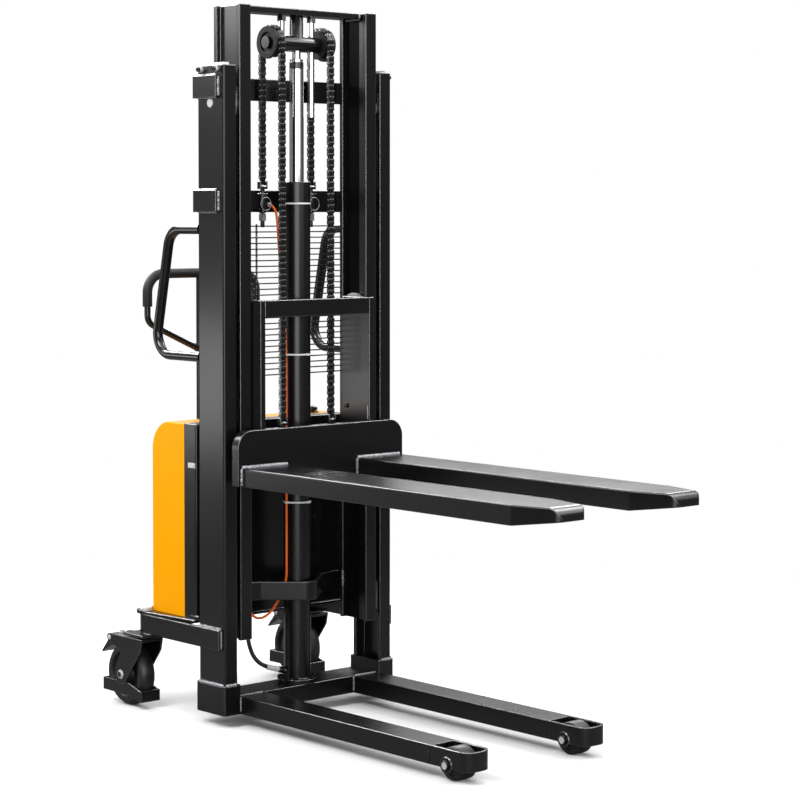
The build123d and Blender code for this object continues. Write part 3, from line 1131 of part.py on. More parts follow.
    with BuildPart() as brake_pedal:
        with BuildSketch(side_plane(x - PEDAL_HALF)):
            with Locations((back(PIN_BACK), PEDAL_PIN_Z)):
                Circle(PEDAL_HUB_R)
            with BuildLine():
                Polyline(
                    *behind([
                        (PAD_FRONT, CROWN_TOP - RUN_GAP), (PIN_BACK, CROWN_TOP - RUN_GAP),
                        (PIN_BACK, CROWN_TOP - PEDAL_T), (PAD_FRONT, CROWN_TOP - PEDAL_T),
                    ]),
                    close=True,
                )
            make_face()
            with BuildLine():
                Polyline(
                    *behind([
                        (PIN_BACK, PEDAL_PIN_Z), (PIN_BACK + PEDAL_HUB_R, PEDAL_PIN_Z),
                        (SWIVEL_BACK + PEDAL_REACH, PEDAL_TIP_Z),
                        (SWIVEL_BACK + PEDAL_REACH, PEDAL_TIP_Z - PEDAL_TIP_T),
                        (PIN_BACK, PEDAL_PIN_Z - PEDAL_ROOT_R),
                    ]),
                    close=True,
                )
            make_face()
        extrude(amount=2 * PEDAL_HALF)
        with Locations((x, back(PIN_BACK), PEDAL_PIN_Z)):
            Cylinder(PEDAL_PIN_R + RUN_FIT, 3 * PEDAL_HALF, rotation=(0, 90, 0), mode=Mode.SUBTRACT)
    keep(brake_pedal.part, f"brake_pedal_{side}")

# Tiller: a post on a pin between the ears, a bent loop and its rubber grips
KNUCKLE_R = FRAME_HEIGHT / 2 - SIDE_GAP
TILLER_COLLAR_R = TILLER_TUBE_R + TILLER_ROD_R / 2
TILLER_COLLAR = 4 * TILLER_ROD_R
STEM_INSET = 2.0            # of the thin rod from the collar's left side
STEM_X = TILLER_ROD_R + STEM_INSET - TILLER_COLLAR_R
with BuildPart() as tiller_post:
    with Locations((0, back(TILLER_BACK), TILLER_PIVOT_Z)):
        Cylinder(TILLER_TUBE_R, TILLER_LOOP_Z - TILLER_PIVOT_Z, align=(Align.CENTER, Align.CENTER, Align.MIN))
        Cylinder(KNUCKLE_R, 2 * TILLER_TUBE_R, rotation=(0, 90, 0))
        Cylinder(TILLER_PIN_R, 2 * (EAR_HALF + EAR_THICK), rotation=(0, 90, 0))
    with Locations((STEM_X, back(TILLER_BACK), TILLER_LOOP_Z)):
        Cylinder(TILLER_ROD_R, TILLER_TOP_Z - TILLER_GRIP_R - TILLER_LOOP_Z, align=(Align.CENTER, Align.CENTER, Align.MIN))
    with Locations((0, back(TILLER_BACK), TILLER_LOOP_Z)):
        Cylinder(TILLER_COLLAR_R, TILLER_COLLAR)
keep(tiller_post.part, "tiller_post")


def loop_half(sign):
    """Centre line of one lower rod of the tiller's loop, from the post to the grip."""
    return FilletPolyline(
        (sign * TILLER_TUBE_R / 2, TILLER_LOOP_Z), (sign * TILLER_HALF, TILLER_SHOULDER_Z), (sign * TILLER_HALF, TILLER_GRIP_Z),
        radius=TILLER_BEND * 0.6,
    )


with BuildPart() as tiller_rods:
    for sign in SIDES.values():
        with BuildLine(front_plane(TILLER_BACK)) as path:
            loop_half(sign)
        with BuildSketch(Plane(origin=path.line @ 0, z_dir=path.line % 0)):
            Circle(TILLER_ROD_R)
        sweep()
    with Locations((0, back(TILLER_BACK), TILLER_LOOP_Z)):
        Cylinder(TILLER_COLLAR_R, TILLER_COLLAR, mode=Mode.SUBTRACT)
keep(tiller_rods.part, "tiller_rods")

with BuildPart() as tiller_grips:
    with BuildLine(front_plane(TILLER_BACK)) as path:
        FilletPolyline(
            (-TILLER_HALF, TILLER_GRIP_Z), (-TILLER_HALF, TILLER_TOP_Z),
            (TILLER_HALF, TILLER_TOP_Z), (TILLER_HALF, TILLER_GRIP_Z),
            radius=TILLER_BEND,
        )
    with BuildSketch(Plane(origin=path.line @ 0, z_dir=path.line % 0)):
        Circle(TILLER_GRIP_R)
    sweep()
keep(tiller_grips.part, "tiller_grips")

# Sensor cable down the cylinder
with BuildPart() as sensor_cable:
    with BuildLine() as path:
        FilletPolyline(*route(CABLE_ROUTE), radius=bends(route(CABLE_ROUTE)))
    with BuildSketch(Plane(origin=path.line @ 0, z_dir=path.line % 0)):
        Circle(CABLE_R)
    sweep()
keep(sensor_cable.part, "sensor_cable")

# Pressure hose from the housing to the cylinder's port, with its crimped end
PORT_MOUTH = PORT_ROOT + PORT_AIM * PORT_REACH
HOSE_END = PORT_MOUTH + PORT_AIM * FERRULE_LENGTH
hose_points = route(HOSE_ROUTE) + [HOSE_END]
with BuildPart() as pressure_hose:
    with BuildLine() as path:
        FilletPolyline(*hose_points, radius=bends(hose_points))
    with BuildSketch(Plane(origin=path.line @ 0, z_dir=path.line % 0)):
        Circle(HOSE_R)
    sweep()
    with BuildSketch(Plane(origin=PORT_MOUTH, z_dir=PORT_AIM)):
        Circle(FERRULE_R)
    extrude(amount=FERRULE_LENGTH)
keep(pressure_hose.part, "pressure_hose")
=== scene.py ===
"""Looks of the semi-electric stacker: finishes, chains, welds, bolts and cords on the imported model."""
import json
import random
from math import acos, atan2, cos, hypot, pi, radians, sin, sqrt

import bmesh
import bpy
from mathutils import Matrix, Vector


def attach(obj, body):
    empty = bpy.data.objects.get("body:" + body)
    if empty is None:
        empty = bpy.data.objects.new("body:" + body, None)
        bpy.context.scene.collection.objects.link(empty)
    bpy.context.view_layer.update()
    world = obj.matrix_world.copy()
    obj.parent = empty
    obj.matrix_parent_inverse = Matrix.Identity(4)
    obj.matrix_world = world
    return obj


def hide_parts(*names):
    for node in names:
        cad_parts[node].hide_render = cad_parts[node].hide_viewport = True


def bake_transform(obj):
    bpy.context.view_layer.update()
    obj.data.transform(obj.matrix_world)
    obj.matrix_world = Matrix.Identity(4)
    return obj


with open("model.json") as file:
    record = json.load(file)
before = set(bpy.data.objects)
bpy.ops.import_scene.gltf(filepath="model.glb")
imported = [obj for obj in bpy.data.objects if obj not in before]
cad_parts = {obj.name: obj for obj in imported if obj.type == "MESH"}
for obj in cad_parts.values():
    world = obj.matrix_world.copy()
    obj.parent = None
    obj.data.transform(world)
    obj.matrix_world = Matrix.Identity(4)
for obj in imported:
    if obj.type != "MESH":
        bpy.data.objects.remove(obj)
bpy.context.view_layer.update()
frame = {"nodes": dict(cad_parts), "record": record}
random.seed(7)

MM = 0.001
MAST_FRONT = 335.0      # Y of the outer mast's front face
MAST_MID = 57.5         # the middle of the mast, behind that face
SIDES = {"left": -1, "right": 1}
X, Y, Z = Vector((1, 0, 0)), Vector((0, 1, 0)), Vector((0, 0, 1))


def at(x, back, z):
    """A place in metres from x, the distance behind the mast's front face and z, all in millimetres."""
    return Vector((x, back + MAST_FRONT, z)) * MM


def on_side(sign, x, back, z):
    """The same place on the left side, for a sign of -1, or on the right side, for 1."""
    return at(sign * x, back, z)


# Camera and light
CAMERA_PLACE = at(-4060.9, -4887.4, 1395.0)
CAMERA_TURN = radians(41.53)
CAMERA_PITCH = radians(2.29)
CAMERA_LENS = 103.34
CAMERA_SHIFT = (0.022, -0.12)
CAMERA_REACH = 60
SENSOR = 36.0

camera_data = bpy.data.cameras.new("camera")
camera_data.lens = CAMERA_LENS
camera_data.sensor_width = SENSOR
camera_data.shift_x, camera_data.shift_y = CAMERA_SHIFT
camera_data.clip_end = CAMERA_REACH
camera = bpy.data.objects.new("camera", camera_data)
bpy.context.collection.objects.link(camera)
sight = Vector((
    sin(CAMERA_TURN) * cos(CAMERA_PITCH), cos(CAMERA_TURN) * cos(CAMERA_PITCH), -sin(CAMERA_PITCH),
))
camera.location = CAMERA_PLACE
camera.rotation_mode = "QUATERNION"
camera.rotation_quaternion = sight.to_track_quat("-Z", "Y")
bpy.context.scene.camera = camera
bpy.context.scene.view_settings.view_transform = "Standard"


def panel_light(name, place, aim, width, height, power, mirrored_only=False):
    """A soft rectangular studio light, or one that only shows mirrored in gloss."""
    data = bpy.data.lights.new(name, "AREA")
    data.shape = "RECTANGLE"
    data.size = width
    data.size_y = height
    data.energy = power
    lamp = bpy.data.objects.new(name, data)
    lamp.location = place
    lamp.visible_diffuse = not mirrored_only
    lamp.rotation_mode = "QUATERNION"
    lamp.rotation_quaternion = (Vector(aim) - Vector(place)).to_track_quat("-Z", "Y")
    bpy.context.collection.objects.link(lamp)


# A tall panel behind the camera draws the cylinder's sheen, a high one right of it that of the chrome.
# The front faces mirror the dark beside them. The rear panels give the left faces their soft band.
# The high ones light the cover, the fork tops and the floor, and give the chains their glints.
# The edge panels draw the thin bright lines along the edges of mast, forks and legs.
panel_light("camera_panel", (-4.4, -5.3, 1.7), (0, 0.4, 1.7), 4.2, 3.6, 190)
panel_light("chrome_panel", (-0.4, -5.6, 2.6), (0, 0.4, 2.6), 5.6, 2.0, 75)
panel_light("left_panel", (-3.6, 0.0, 4.2), (-0.2, 0.6, 0.6), 2.2, 2.2, 175)
panel_light("rear_wall", (-3.4, 2.9, 1.5), (-0.2, 0.4, 1.2), 3.6, 3.4, 9)
panel_light("rear_low_panel", (-1.62, 2.1, 0.78), (-0.3, 0.4, 0.95), 0.7, 0.44, 3.2)
panel_light("rear_high_panel", (-1.62, 2.1, 2.35), (-0.3, 0.4, 1.9), 0.7, 0.6, 9)
panel_light("back_panel", (3.3, 4.2, 3.5), (0, -0.2, 0.6), 4.8, 1.8, 260)
panel_light("right_panel", (2.7, -2.7, 4.3), (0, 0.3, 1.0), 2.6, 1.8, 70)
panel_light("right_edge_panel", (3.3, -0.3, 4.6), (0, 0.2, 1.2), 2.0, 1.6, 120, mirrored_only=True)
panel_light("left_edge_panel", (-1.1, 4.1, 4.3), (-0.2, 0.0, 0.7), 2.4, 1.6, 320, mirrored_only=True)
panel_light("top_panel", (0.0, -0.2, 5.2), (0, -0.2, 0), 5.0, 5.0, 170)


# Finishes
def linear(code):
    """Linear colour from an sRGB hex value."""
    parts = [int(code[i:i + 2], 16) / 255 for i in (1, 3, 5)]
    return [c / 12.92 if c <= 0.04045 else ((c + 0.055) / 1.055) ** 2.4 for c in parts] + [1.0]


def add(tree, kind, inputs=None, **settings):
    """Add one node with its settings; each input is a value or the socket that feeds it."""
    made = tree.nodes.new(kind)
    for name, value in settings.items():
        setattr(made, name, value)
    for key, value in (inputs or {}).items():
        if isinstance(value, bpy.types.NodeSocket):
            tree.links.new(value, made.inputs[key])
        else:
            made.inputs[key].default_value = value
    return made


def bare_finish(name, code, metallic, roughness, **sockets):
    """A material whose shader has one colour and plain values, ready for its pattern."""
    made = bpy.data.materials.new(name)
    made.use_nodes = True
    tree = made.node_tree
    shader = tree.nodes["Principled BSDF"]
    shader.inputs["Base Color"].default_value = linear(code)
    shader.inputs["Metallic"].default_value = metallic
    shader.inputs["Roughness"].default_value = roughness
    for key, value in sockets.items():
        shader.inputs[key.replace("_", " ")].default_value = value
    place = add(tree, "ShaderNodeTexCoord").outputs["Object"]
    return made, tree, shader, place


def per_metre(size_mm):
    """Texture scale whose features are about this many millimetres apart."""
    return 1 / (size_mm * MM)


def cloud(tree, place, size_mm, detail=2.0):
    """Socket of a soft noise with features of this size."""
    return add(
        tree, "ShaderNodeTexNoise", {"Vector": place, "Scale": per_metre(size_mm), "Detail": detail},
    ).outputs["Fac"]


PATCH_DETAIL = 4.0
CLOUD_RANGE = (0.3, 0.7)    # most of a noise's values lie between these


def mottle(tree, shader, place, size_mm, codes, rough, detail=PATCH_DETAIL):
    """Vary the colour and the roughness softly over patches of this size."""
    patch = cloud(tree, place, size_mm, detail)
    tint = add(
        tree, "ShaderNodeMix", {0: patch, 6: linear(codes[0]), 7: linear(codes[1])}, data_type="RGBA",
    )
    tree.links.new(tint.outputs[2], shader.inputs["Base Color"])
    band = add(tree, "ShaderNodeMapRange", {
        "Value": patch, "From Min": CLOUD_RANGE[0], "From Max": CLOUD_RANGE[1],
        "To Min": rough[0], "To Max": rough[1],
    })
    tree.links.new(band.outputs["Result"], shader.inputs["Roughness"])


def relief(tree, shader, height, strength, depth_mm):
    """Bump of this depth from a height socket."""
    bump = add(
        tree, "ShaderNodeBump", {"Height": height, "Strength": strength, "Distance": depth_mm * MM},
    )
    tree.links.new(bump.outputs["Normal"], shader.inputs["Normal"])
    return bump


EDGE_SAMPLES = 8
EDGE_COSINES = (0.99, 0.93)     # of the turn from the flat, where an edge begins and where it is full


def rounded_edges(tree, bump, radius_mm):
    """Round the edges by this radius under a bump; gives a socket that is 1 on edges and 0 on flats."""
    rounded = add(
        tree, "ShaderNodeBevel", {"Radius": radius_mm * MM}, samples=EDGE_SAMPLES,
    ).outputs["Normal"]
    tree.links.new(rounded, bump.inputs["Normal"])
    flat = add(tree, "ShaderNodeNewGeometry").outputs["True Normal"]
    along = add(tree, "ShaderNodeVectorMath", {0: rounded, 1: flat}, operation="DOT_PRODUCT")
    return add(tree, "ShaderNodeMapRange", {
        "Value": along.outputs["Value"], "From Min": EDGE_COSINES[0], "From Max": EDGE_COSINES[1],
        "To Min": 0.0, "To Max": 1.0,
    }).outputs["Result"]


# Powder coat on steel: baked paint with a faint orange peel, half gloss, thin and bright along edges.
# The peel is drawn at 3 mm so that it shows.
PEEL = 3.0
PEEL_DEPTH = 0.1
EDGE_ROUND = 4.2
FLAT_SHINE = 0.5    # specular level of the paint on its flats
EDGE_SHINE = 2.2    # and on an edge, where it is thin and worn smooth


def powder_coat(name):
    """The black paint, and the socket of its specular level, which rises on the edges."""
    made, tree, shader, place = bare_finish(name, "#0B0B0C", metallic=0.0, roughness=0.26)
    mottle(tree, shader, place, 160, ("#09090A", "#0F0F10"), (0.25, 0.275))
    peel = relief(tree, shader, cloud(tree, place, PEEL), strength=0.02, depth_mm=PEEL_DEPTH)
    edge = rounded_edges(tree, peel, EDGE_ROUND)
    shine = add(tree, "ShaderNodeMapRange", {"Value": edge, "To Min": FLAT_SHINE, "To Max": EDGE_SHINE})
    return made, tree, shader, place, shine.outputs["Result"]


black_coat, tree, shader, place, shine = powder_coat("black_powder_coat")
tree.links.new(shine, shader.inputs["Specular IOR Level"])

# The same paint on the inner beams, with painted shade on their webs: behind the front the paint's shine
# drops, so the deep recess looks shadowed
WEB_X = 220.0
WEB_HALF = 2.0
SHADE_FRONT = 45.0
SHADED_WEB_SHINE = 0.03
shaded_web_coat, tree, shader, place, shine = powder_coat("shaded_web_powder_coat")
spot = add(tree, "ShaderNodeSeparateXYZ", {"Vector": place})
side = add(tree, "ShaderNodeMath", {0: spot.outputs["X"]}, operation="ABSOLUTE")
on_web = add(
    tree, "ShaderNodeMath", {0: side.outputs[0], 1: WEB_X * MM, 2: WEB_HALF * MM}, operation="COMPARE",
)
behind = add(
    tree, "ShaderNodeMath", {0: spot.outputs["Y"], 1: (MAST_FRONT + SHADE_FRONT) * MM},
    operation="GREATER_THAN",
)
# painted shade: the web behind its front, where the channel's recess lies in shadow, loses its shine
shaded_web = add(tree, "ShaderNodeMath", {0: on_web.outputs[0], 1: behind.outputs[0]}, operation="MULTIPLY")
web_shade = add(tree, "ShaderNodeMix", {0: shaded_web.outputs[0], 2: shine, 3: SHADED_WEB_SHINE})
tree.links.new(web_shade.outputs[0], shader.inputs["Specular IOR Level"])


def patchy(
    name, code, metallic, roughness, patch, codes, rough, grain=None, detail=PATCH_DETAIL, **sockets,
):
    """A finish mottled in patches, and grained where a (size, strength, depth) of grain is given."""
    made, tree, shader, place = bare_finish(name, code, metallic, roughness, **sockets)
    mottle(tree, shader, place, patch, codes, rough, detail)
    if grain:
        size_mm, strength, depth_mm = grain
        relief(tree, shader, cloud(tree, place, size_mm), strength, depth_mm)
    return made


# The same paint on a drawn tube, smoother and with more gloss
black_tube = patchy(
    "black_gloss_enamel", "#0A0A0B", metallic=0.0, roughness=0.20, Coat_Weight=0.3,
    patch=90, codes=("#09090A", "#0F0F10"), rough=(0.17, 0.25),
)

# Yellow powder coat on pressed sheet: warm, even colour with a soft gloss
yellow_coat = patchy(
    "yellow_powder_coat", "#FFA800", metallic=0.0, roughness=0.36, Specular_IOR_Level=0.06,
    patch=240, codes=("#FFA500", "#FFAC00"), rough=(0.32, 0.40), grain=(PEEL, 0.08, PEEL_DEPTH),
)

# Hard chrome, ground and polished: mirror bright with faint lines round the rod
hard_chrome, tree, shader, place = bare_finish("hard_chrome", "#DCDDDF", metallic=1.0, roughness=0.10)
lines = add(
    tree, "ShaderNodeTexWave", {"Vector": place, "Scale": per_metre(9.0), "Distortion": 1.5},
    bands_direction="Z",
)
band = add(tree, "ShaderNodeMapRange", {"Value": lines.outputs["Fac"], "To Min": 0.06, "To Max": 0.15})
tree.links.new(band.outputs["Result"], shader.inputs["Roughness"])

# Turned or zinc plated steel: pale grey metal, softly scratched
bright_steel = patchy(
    "zinc_plated_steel", "#C4C6C8", metallic=0.4, roughness=0.32,
    patch=18, codes=("#C6C8CA", "#DCDDDE"), rough=(0.26, 0.38),
)

# Zinc flake on the hose fitting: pale, even grey with little shine
zinc_flake = patchy(
    "zinc_flake_coat", "#DCDDDF", metallic=0.1, roughness=0.34,
    patch=8, codes=("#D0D2D4", "#EAEBEC"), rough=(0.28, 0.40),
)

# Ground steel of the chain pins: grey metal that mirrors dark and light
pin_steel = patchy(
    "ground_steel", "#9C9EA1", metallic=1.0, roughness=0.24,
    patch=12, codes=("#8E9093", "#A9ABAE"), rough=(0.20, 0.28),
)

# Chain steel, blackened and oiled: dark metal with small wet glints
chain_steel = patchy(
    "oiled_chain_steel", "#202022", metallic=0.45, roughness=0.22, Specular_IOR_Level=1.1,
    patch=9, codes=("#0E0E0F", "#38383A"), rough=(0.16, 0.30),
)

# Blackened steel of the chain wheels: dull, with little gloss
wheel_steel = patchy(
    "blackened_steel", "#101011", metallic=0.0, roughness=0.45, Specular_IOR_Level=0.28,
    patch=14, codes=("#0C0C0D", "#161617"), rough=(0.40, 0.52),
)

# Bronze bush: brown metal, dark with oil
bush_bronze = patchy(
    "oiled_bronze", "#3E2F1C", metallic=1.0, roughness=0.34,
    patch=5, codes=("#2C2114", "#524028"), rough=(0.28, 0.42),
)

# Moulded rubber: matt black with a fine pebble grain
grip_rubber = patchy(
    "moulded_rubber", "#101010", metallic=0.0, roughness=0.62,
    patch=30, codes=("#0D0D0D", "#171717"), rough=(0.55, 0.70), grain=(1.6, 0.25, 0.3),
)

# Cast polyurethane tyre: dark and satin, scuffed on the tread
tyre_urethane = patchy(
    "cast_polyurethane", "#161617", metallic=0.0, roughness=0.42,
    patch=22, codes=("#111112", "#222223"), rough=(0.34, 0.56), grain=(5.0, 0.12, 0.3),
)

# PVC sheath of the cable: bright orange, slightly glossy
cable_pvc = patchy(
    "orange_pvc_sheath", "#F26810", metallic=0.0, roughness=0.40,
    patch=40, codes=("#EC600C", "#F8761C"), rough=(0.34, 0.46),
)

# Hydraulic hose cover: wrapped rubber, whose cloth print shows as fine bands
hose_rubber, tree, shader, place = bare_finish(
    "wrapped_hose_rubber", "#121213", metallic=0.0, roughness=0.55,
)
wraps = add(
    tree, "ShaderNodeTexWave", {"Vector": place, "Scale": per_metre(20.0), "Distortion": 0.6},
)
relief(tree, shader, wraps.outputs["Fac"], strength=0.3, depth_mm=0.3)
mottle(tree, shader, place, 18, ("#0F0F10", "#1A1A1B"), (0.48, 0.62))

# Nylon of the ties and slide pads: white, a little see-through at the edge
tie_nylon = patchy(
    "white_nylon_tie", "#F1F1EC", metallic=0.0, roughness=0.45, Subsurface_Weight=0.1,
    patch=8, codes=("#E9E9E4", "#F7F7F3"), rough=(0.40, 0.50),
)

# Weld bead under the paint, and the anchors' nuts: rippled metal that shows through as grey glints
weld_metal = patchy(
    "painted_weld_bead", "#8C8E92", metallic=0.45, roughness=0.28,
    patch=5, codes=("#4A4B4E", "#C2C4C8"), rough=(0.20, 0.38), detail=2.0,
)

# Black moulded plastic of the stop button and of the bolt ends: smooth and a little glossy
knob_plastic = patchy(
    "black_moulded_plastic", "#0E0E0F", metallic=0.0, roughness=0.26,
    patch=9, codes=("#0C0C0D", "#141415"), rough=(0.22, 0.32),
)

# Moulded case of the battery, inside the housing: dark grey and dull
battery_case = patchy(
    "moulded_battery_case", "#202224", metallic=0.0, roughness=0.5,
    patch=20, codes=("#1B1D1F", "#282A2D"), rough=(0.45, 0.58),
)

# Matt paper-white studio floor, which fades out round the machine and throws little light back at it
FLOOR_HALF = 3.0
FLOOR_FULL = 1.5                # metres from the middle where the fade begins
FLOOR_CLEAR = 2.9               # and where nothing of the floor is left
FLOOR_SEEN_BACK = "#848484"     # the floor's colour for light that it throws back
floor_white, tree, shader, place = bare_finish(
    "studio_floor", "#FFFFFF", metallic=0.0, roughness=0.9, Specular_IOR_Level=0.0,
)
mottle(tree, shader, place, 900, ("#FBFBFB", "#FFFFFF"), (0.88, 0.94))
ray = add(tree, "ShaderNodeLightPath")
white = shader.inputs["Base Color"].links[0].from_socket
shade = add(
    tree, "ShaderNodeMix",
    {0: ray.outputs["Is Camera Ray"], 6: linear(FLOOR_SEEN_BACK), 7: white}, data_type="RGBA",
)
tree.links.new(shade.outputs[2], shader.inputs["Base Color"])
reach = add(tree, "ShaderNodeVectorMath", {0: place}, operation="LENGTH")
fade = add(tree, "ShaderNodeMapRange", {
    "Value": reach.outputs["Value"], "From Min": FLOOR_FULL, "From Max": FLOOR_CLEAR,
    "To Min": 0.0, "To Max": 1.0,
}, interpolation_type="SMOOTHSTEP")
clear = add(tree, "ShaderNodeBsdfTransparent")
mixed = add(
    tree, "ShaderNodeMixShader",
    {0: fade.outputs["Result"], 1: shader.outputs["BSDF"], 2: clear.outputs["BSDF"]},
)
tree.links.new(mixed.outputs["Shader"], tree.nodes["Material Output"].inputs["Surface"])

FINISH_OF_SLOT = {
    "black_paint": black_coat,
    "yellow_paint": yellow_coat,
    "bright_steel": bright_steel,
    "oiled_steel": chain_steel,
    "chrome": hard_chrome,
    "bronze": bush_bronze,
    "grip_rubber": grip_rubber,
    "tyre": tyre_urethane,
    "orange_plastic": cable_pvc,
    "knob_plastic": knob_plastic,
    "case_plastic": battery_case,
}
FINISH_OF_NODE = {
    "side_handle_left": black_tube,
    "side_handle_right": black_tube,
    "tiller_rods": black_tube,
    "tiller_post": black_tube,
    "pressure_hose": hose_rubber,
    "crosshead_bar": black_tube,
    "guide_rods": hard_chrome,
    "chain_wheel_left": wheel_steel,
    "chain_wheel_right": wheel_steel,
    "inner_beam_left": shaded_web_coat,
    "inner_beam_right": shaded_web_coat,
}

# Every CAD piece takes its finish. The sharp edges are eased so that they catch the light, except on the
# large painted pieces, whose paint rounds them, and on round or replaced ones.
EASE = 1.2
EASE_OF_NODE = {"tiller_grips": 0.8, "chain_wheel_bushes": 0.4}
NOT_EASED = {
    "mast_upright_left", "mast_upright_right", "inner_beam_left", "inner_beam_right",
    "foot_blocks", "base_crossbeam", "support_leg_left", "support_leg_right",
    "upper_crossbar", "middle_crossbar", "lower_crossmember", "rear_frame", "deck_plate",
    "fork_plate", "carriage_top_bar", "carriage_sides", "fork_left", "fork_right",
    "mesh_guard", "side_handle_left", "side_handle_right", "tiller_rods",
    "piston_rod", "guide_rods", "cylinder_barrel",
    "front_chains", "rear_chains", "chain_wraps", "sensor_cable", "pressure_hose",
}
EASE_ANGLE = radians(38)
EASE_STEPS = 3
JOIN_GAP = 0.02
for row in frame["record"]["subparts"]:
    name = row["node"]
    piece = frame["nodes"][name]
    piece.data.materials.clear()
    piece.data.materials.append(FINISH_OF_NODE.get(name, FINISH_OF_SLOT[row["material_slot"]]))
    if name in NOT_EASED:
        continue
    weld = piece.modifiers.new("join_corners", "WELD")
    weld.merge_threshold = JOIN_GAP * MM
    ease = piece.modifiers.new("eased_edges", "BEVEL")
    ease.width = EASE_OF_NODE.get(name, EASE) * MM
    ease.segments = EASE_STEPS
    ease.limit_method = "ANGLE"
    ease.angle_limit = EASE_ANGLE
    ease.harden_normals = True
    ease.use_clamp_overlap = True


# Mesh makers
def piece_from(name, mesh, finish, body, smooth_angle=35):
    """An object from a bmesh, shaded smooth up to an angle, in its finish, riding a body."""
    data = bpy.data.meshes.new(name)
    bmesh.ops.recalc_face_normals(mesh, faces=mesh.faces)
    mesh.to_mesh(data)
    mesh.free()
    data.materials.append(finish)
    data.shade_smooth()
    data.set_sharp_from_angle(angle=radians(smooth_angle))
    made = bpy.data.objects.new(name, data)
    bpy.context.collection.objects.link(made)
    if body:
        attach(made, body)
    return made


def standing(place, direction):
    """Transform that sets +Z along a direction, at a place."""
    turn = Vector(direction).to_track_quat("Z", "Y").to_matrix().to_4x4()
    return Matrix.Translation(place) @ turn


ON_AXIS = 0.001     # a smaller radius than this is a point on the axis


def lathe(mesh, place, direction, profile, count=32):
    """Turn (radius, height) pairs, in millimetres, round an axis; ends on the axis are closed."""
    spin = standing(place, direction)
    rings = []
    for radius, height in profile:
        if radius < ON_AXIS:
            rings.append([mesh.verts.new(spin @ Vector((0, 0, height * MM)))])
            continue
        rings.append([
            mesh.verts.new(spin @ (Vector((radius * cos(a), radius * sin(a), height)) * MM))
            for a in (2 * pi * i / count for i in range(count))
        ])
    for low, high in zip(rings, rings[1:]):
        for i in range(count):
            j = (i + 1) % count
            if len(low) == 1:
                mesh.faces.new((low[0], high[j], high[i]))
            elif len(high) == 1:
                mesh.faces.new((low[i], low[j], high[0]))
            else:
                mesh.faces.new((low[i], low[j], high[j], high[i]))


def prism(mesh, turn_matrix, outline, low, high):
    """A plate from a flat outline, in millimetres, between two heights."""
    bottom = [mesh.verts.new(turn_matrix @ (Vector((a, b, low)) * MM)) for a, b in outline]
    top = [mesh.verts.new(turn_matrix @ (Vector((a, b, high)) * MM)) for a, b in outline]
    mesh.faces.new(list(reversed(bottom)))
    mesh.faces.new(top)
    for i in range(len(outline)):
        j = (i + 1) % len(outline)
        mesh.faces.new((bottom[i], bottom[j], top[j], top[i]))


def hexagon(radius):
    """Corners of a hexagon with this corner radius."""
    return [(radius * cos(pi / 3 * i), radius * sin(pi / 3 * i)) for i in range(6)]


def rectangle(left, right, low, high):
    """Corners of a rectangle."""
    return [(left, low), (right, low), (right, high), (left, high)]


BOLT_COUNT = 24     # sides of a bolt's round parts


def hex_bolt(mesh, place, direction, size):
    """A hexagon head with a domed chamfer on a washer; size is the corner radius in millimetres."""
    rim, low = size * 1.35, size * 0.16
    lathe(mesh, place, direction, [(0, 0), (rim, 0), (rim, low), (0, low)], count=BOLT_COUNT)
    prism(mesh, standing(place, direction), hexagon(size), low, low + size * 0.52)
    lathe(mesh, place, direction, [
        (size * 0.86, low + size * 0.52), (size * 0.86, low + size * 0.56),
        (size * 0.7, low + size * 0.64), (0, low + size * 0.66),
    ], count=BOLT_COUNT)


def wire_ring(mesh, place, axis, radius, wire, count=36, sides=8):
    """A closed ring of round wire about an axis; sizes in millimetres."""
    spin = standing(place, axis)
    rings = []
    for i in range(count):
        a = 2 * pi * i / count
        out = Vector((cos(a), sin(a), 0))
        rings.append([
            mesh.verts.new(spin @ ((out * (radius + wire * cos(b)) + Z * wire * sin(b)) * MM))
            for b in (2 * pi * k / sides for k in range(sides))
        ])
    for i in range(count):
        low, high = rings[i], rings[(i + 1) % count]
        for k in range(sides):
            mesh.faces.new((low[k], high[k], high[(k + 1) % sides], low[(k + 1) % sides]))


WELD_STEP = 3.2             # ripple spacing along a bead
WELD_LEAN = 0.35            # how far its middle wanders
WELD_SIDES = 8
WELD_SWELL = (1.08, 0.82)   # crests and troughs, as parts of the bead's radius
WELD_UNEVEN = 0.12
WELD_END = 0.45


def weld_bead(mesh, start, end, radius):
    """A rippled bead of weld along a line; radius in millimetres."""
    run = end - start
    count = max(3, int(run.length / (WELD_STEP * MM)))
    aim = run.normalized()
    side = aim.orthogonal().normalized()
    other = aim.cross(side)
    rings = []
    for i in range(count * 2 + 1):
        swell = WELD_SWELL[i % 2] * (1 + random.uniform(-WELD_UNEVEN, WELD_UNEVEN))
        if i in (0, count * 2):
            swell *= WELD_END
        middle = start + run * (i / (count * 2)) + side * random.uniform(-WELD_LEAN, WELD_LEAN) * MM
        ring = []
        for k in range(WELD_SIDES):
            a = 2 * pi * k / WELD_SIDES
            ring.append(mesh.verts.new(middle + (side * cos(a) + other * sin(a)) * radius * swell * MM))
        rings.append(ring)
    for low, high in zip(rings, rings[1:]):
        for k in range(WELD_SIDES):
            j = (k + 1) % WELD_SIDES
            mesh.faces.new((low[k], low[j], high[j], high[k]))
    mesh.faces.new(list(reversed(rings[0])))
    mesh.faces.new(rings[-1])


def mirrored_beads(mesh, rows):
    """Beads on both sides from rows of (start, end, radius), whose places are the right side's."""
    for sign in SIDES.values():
        for start, end, radius in rows:
            weld_bead(mesh, on_side(sign, *start), on_side(sign, *end), radius)


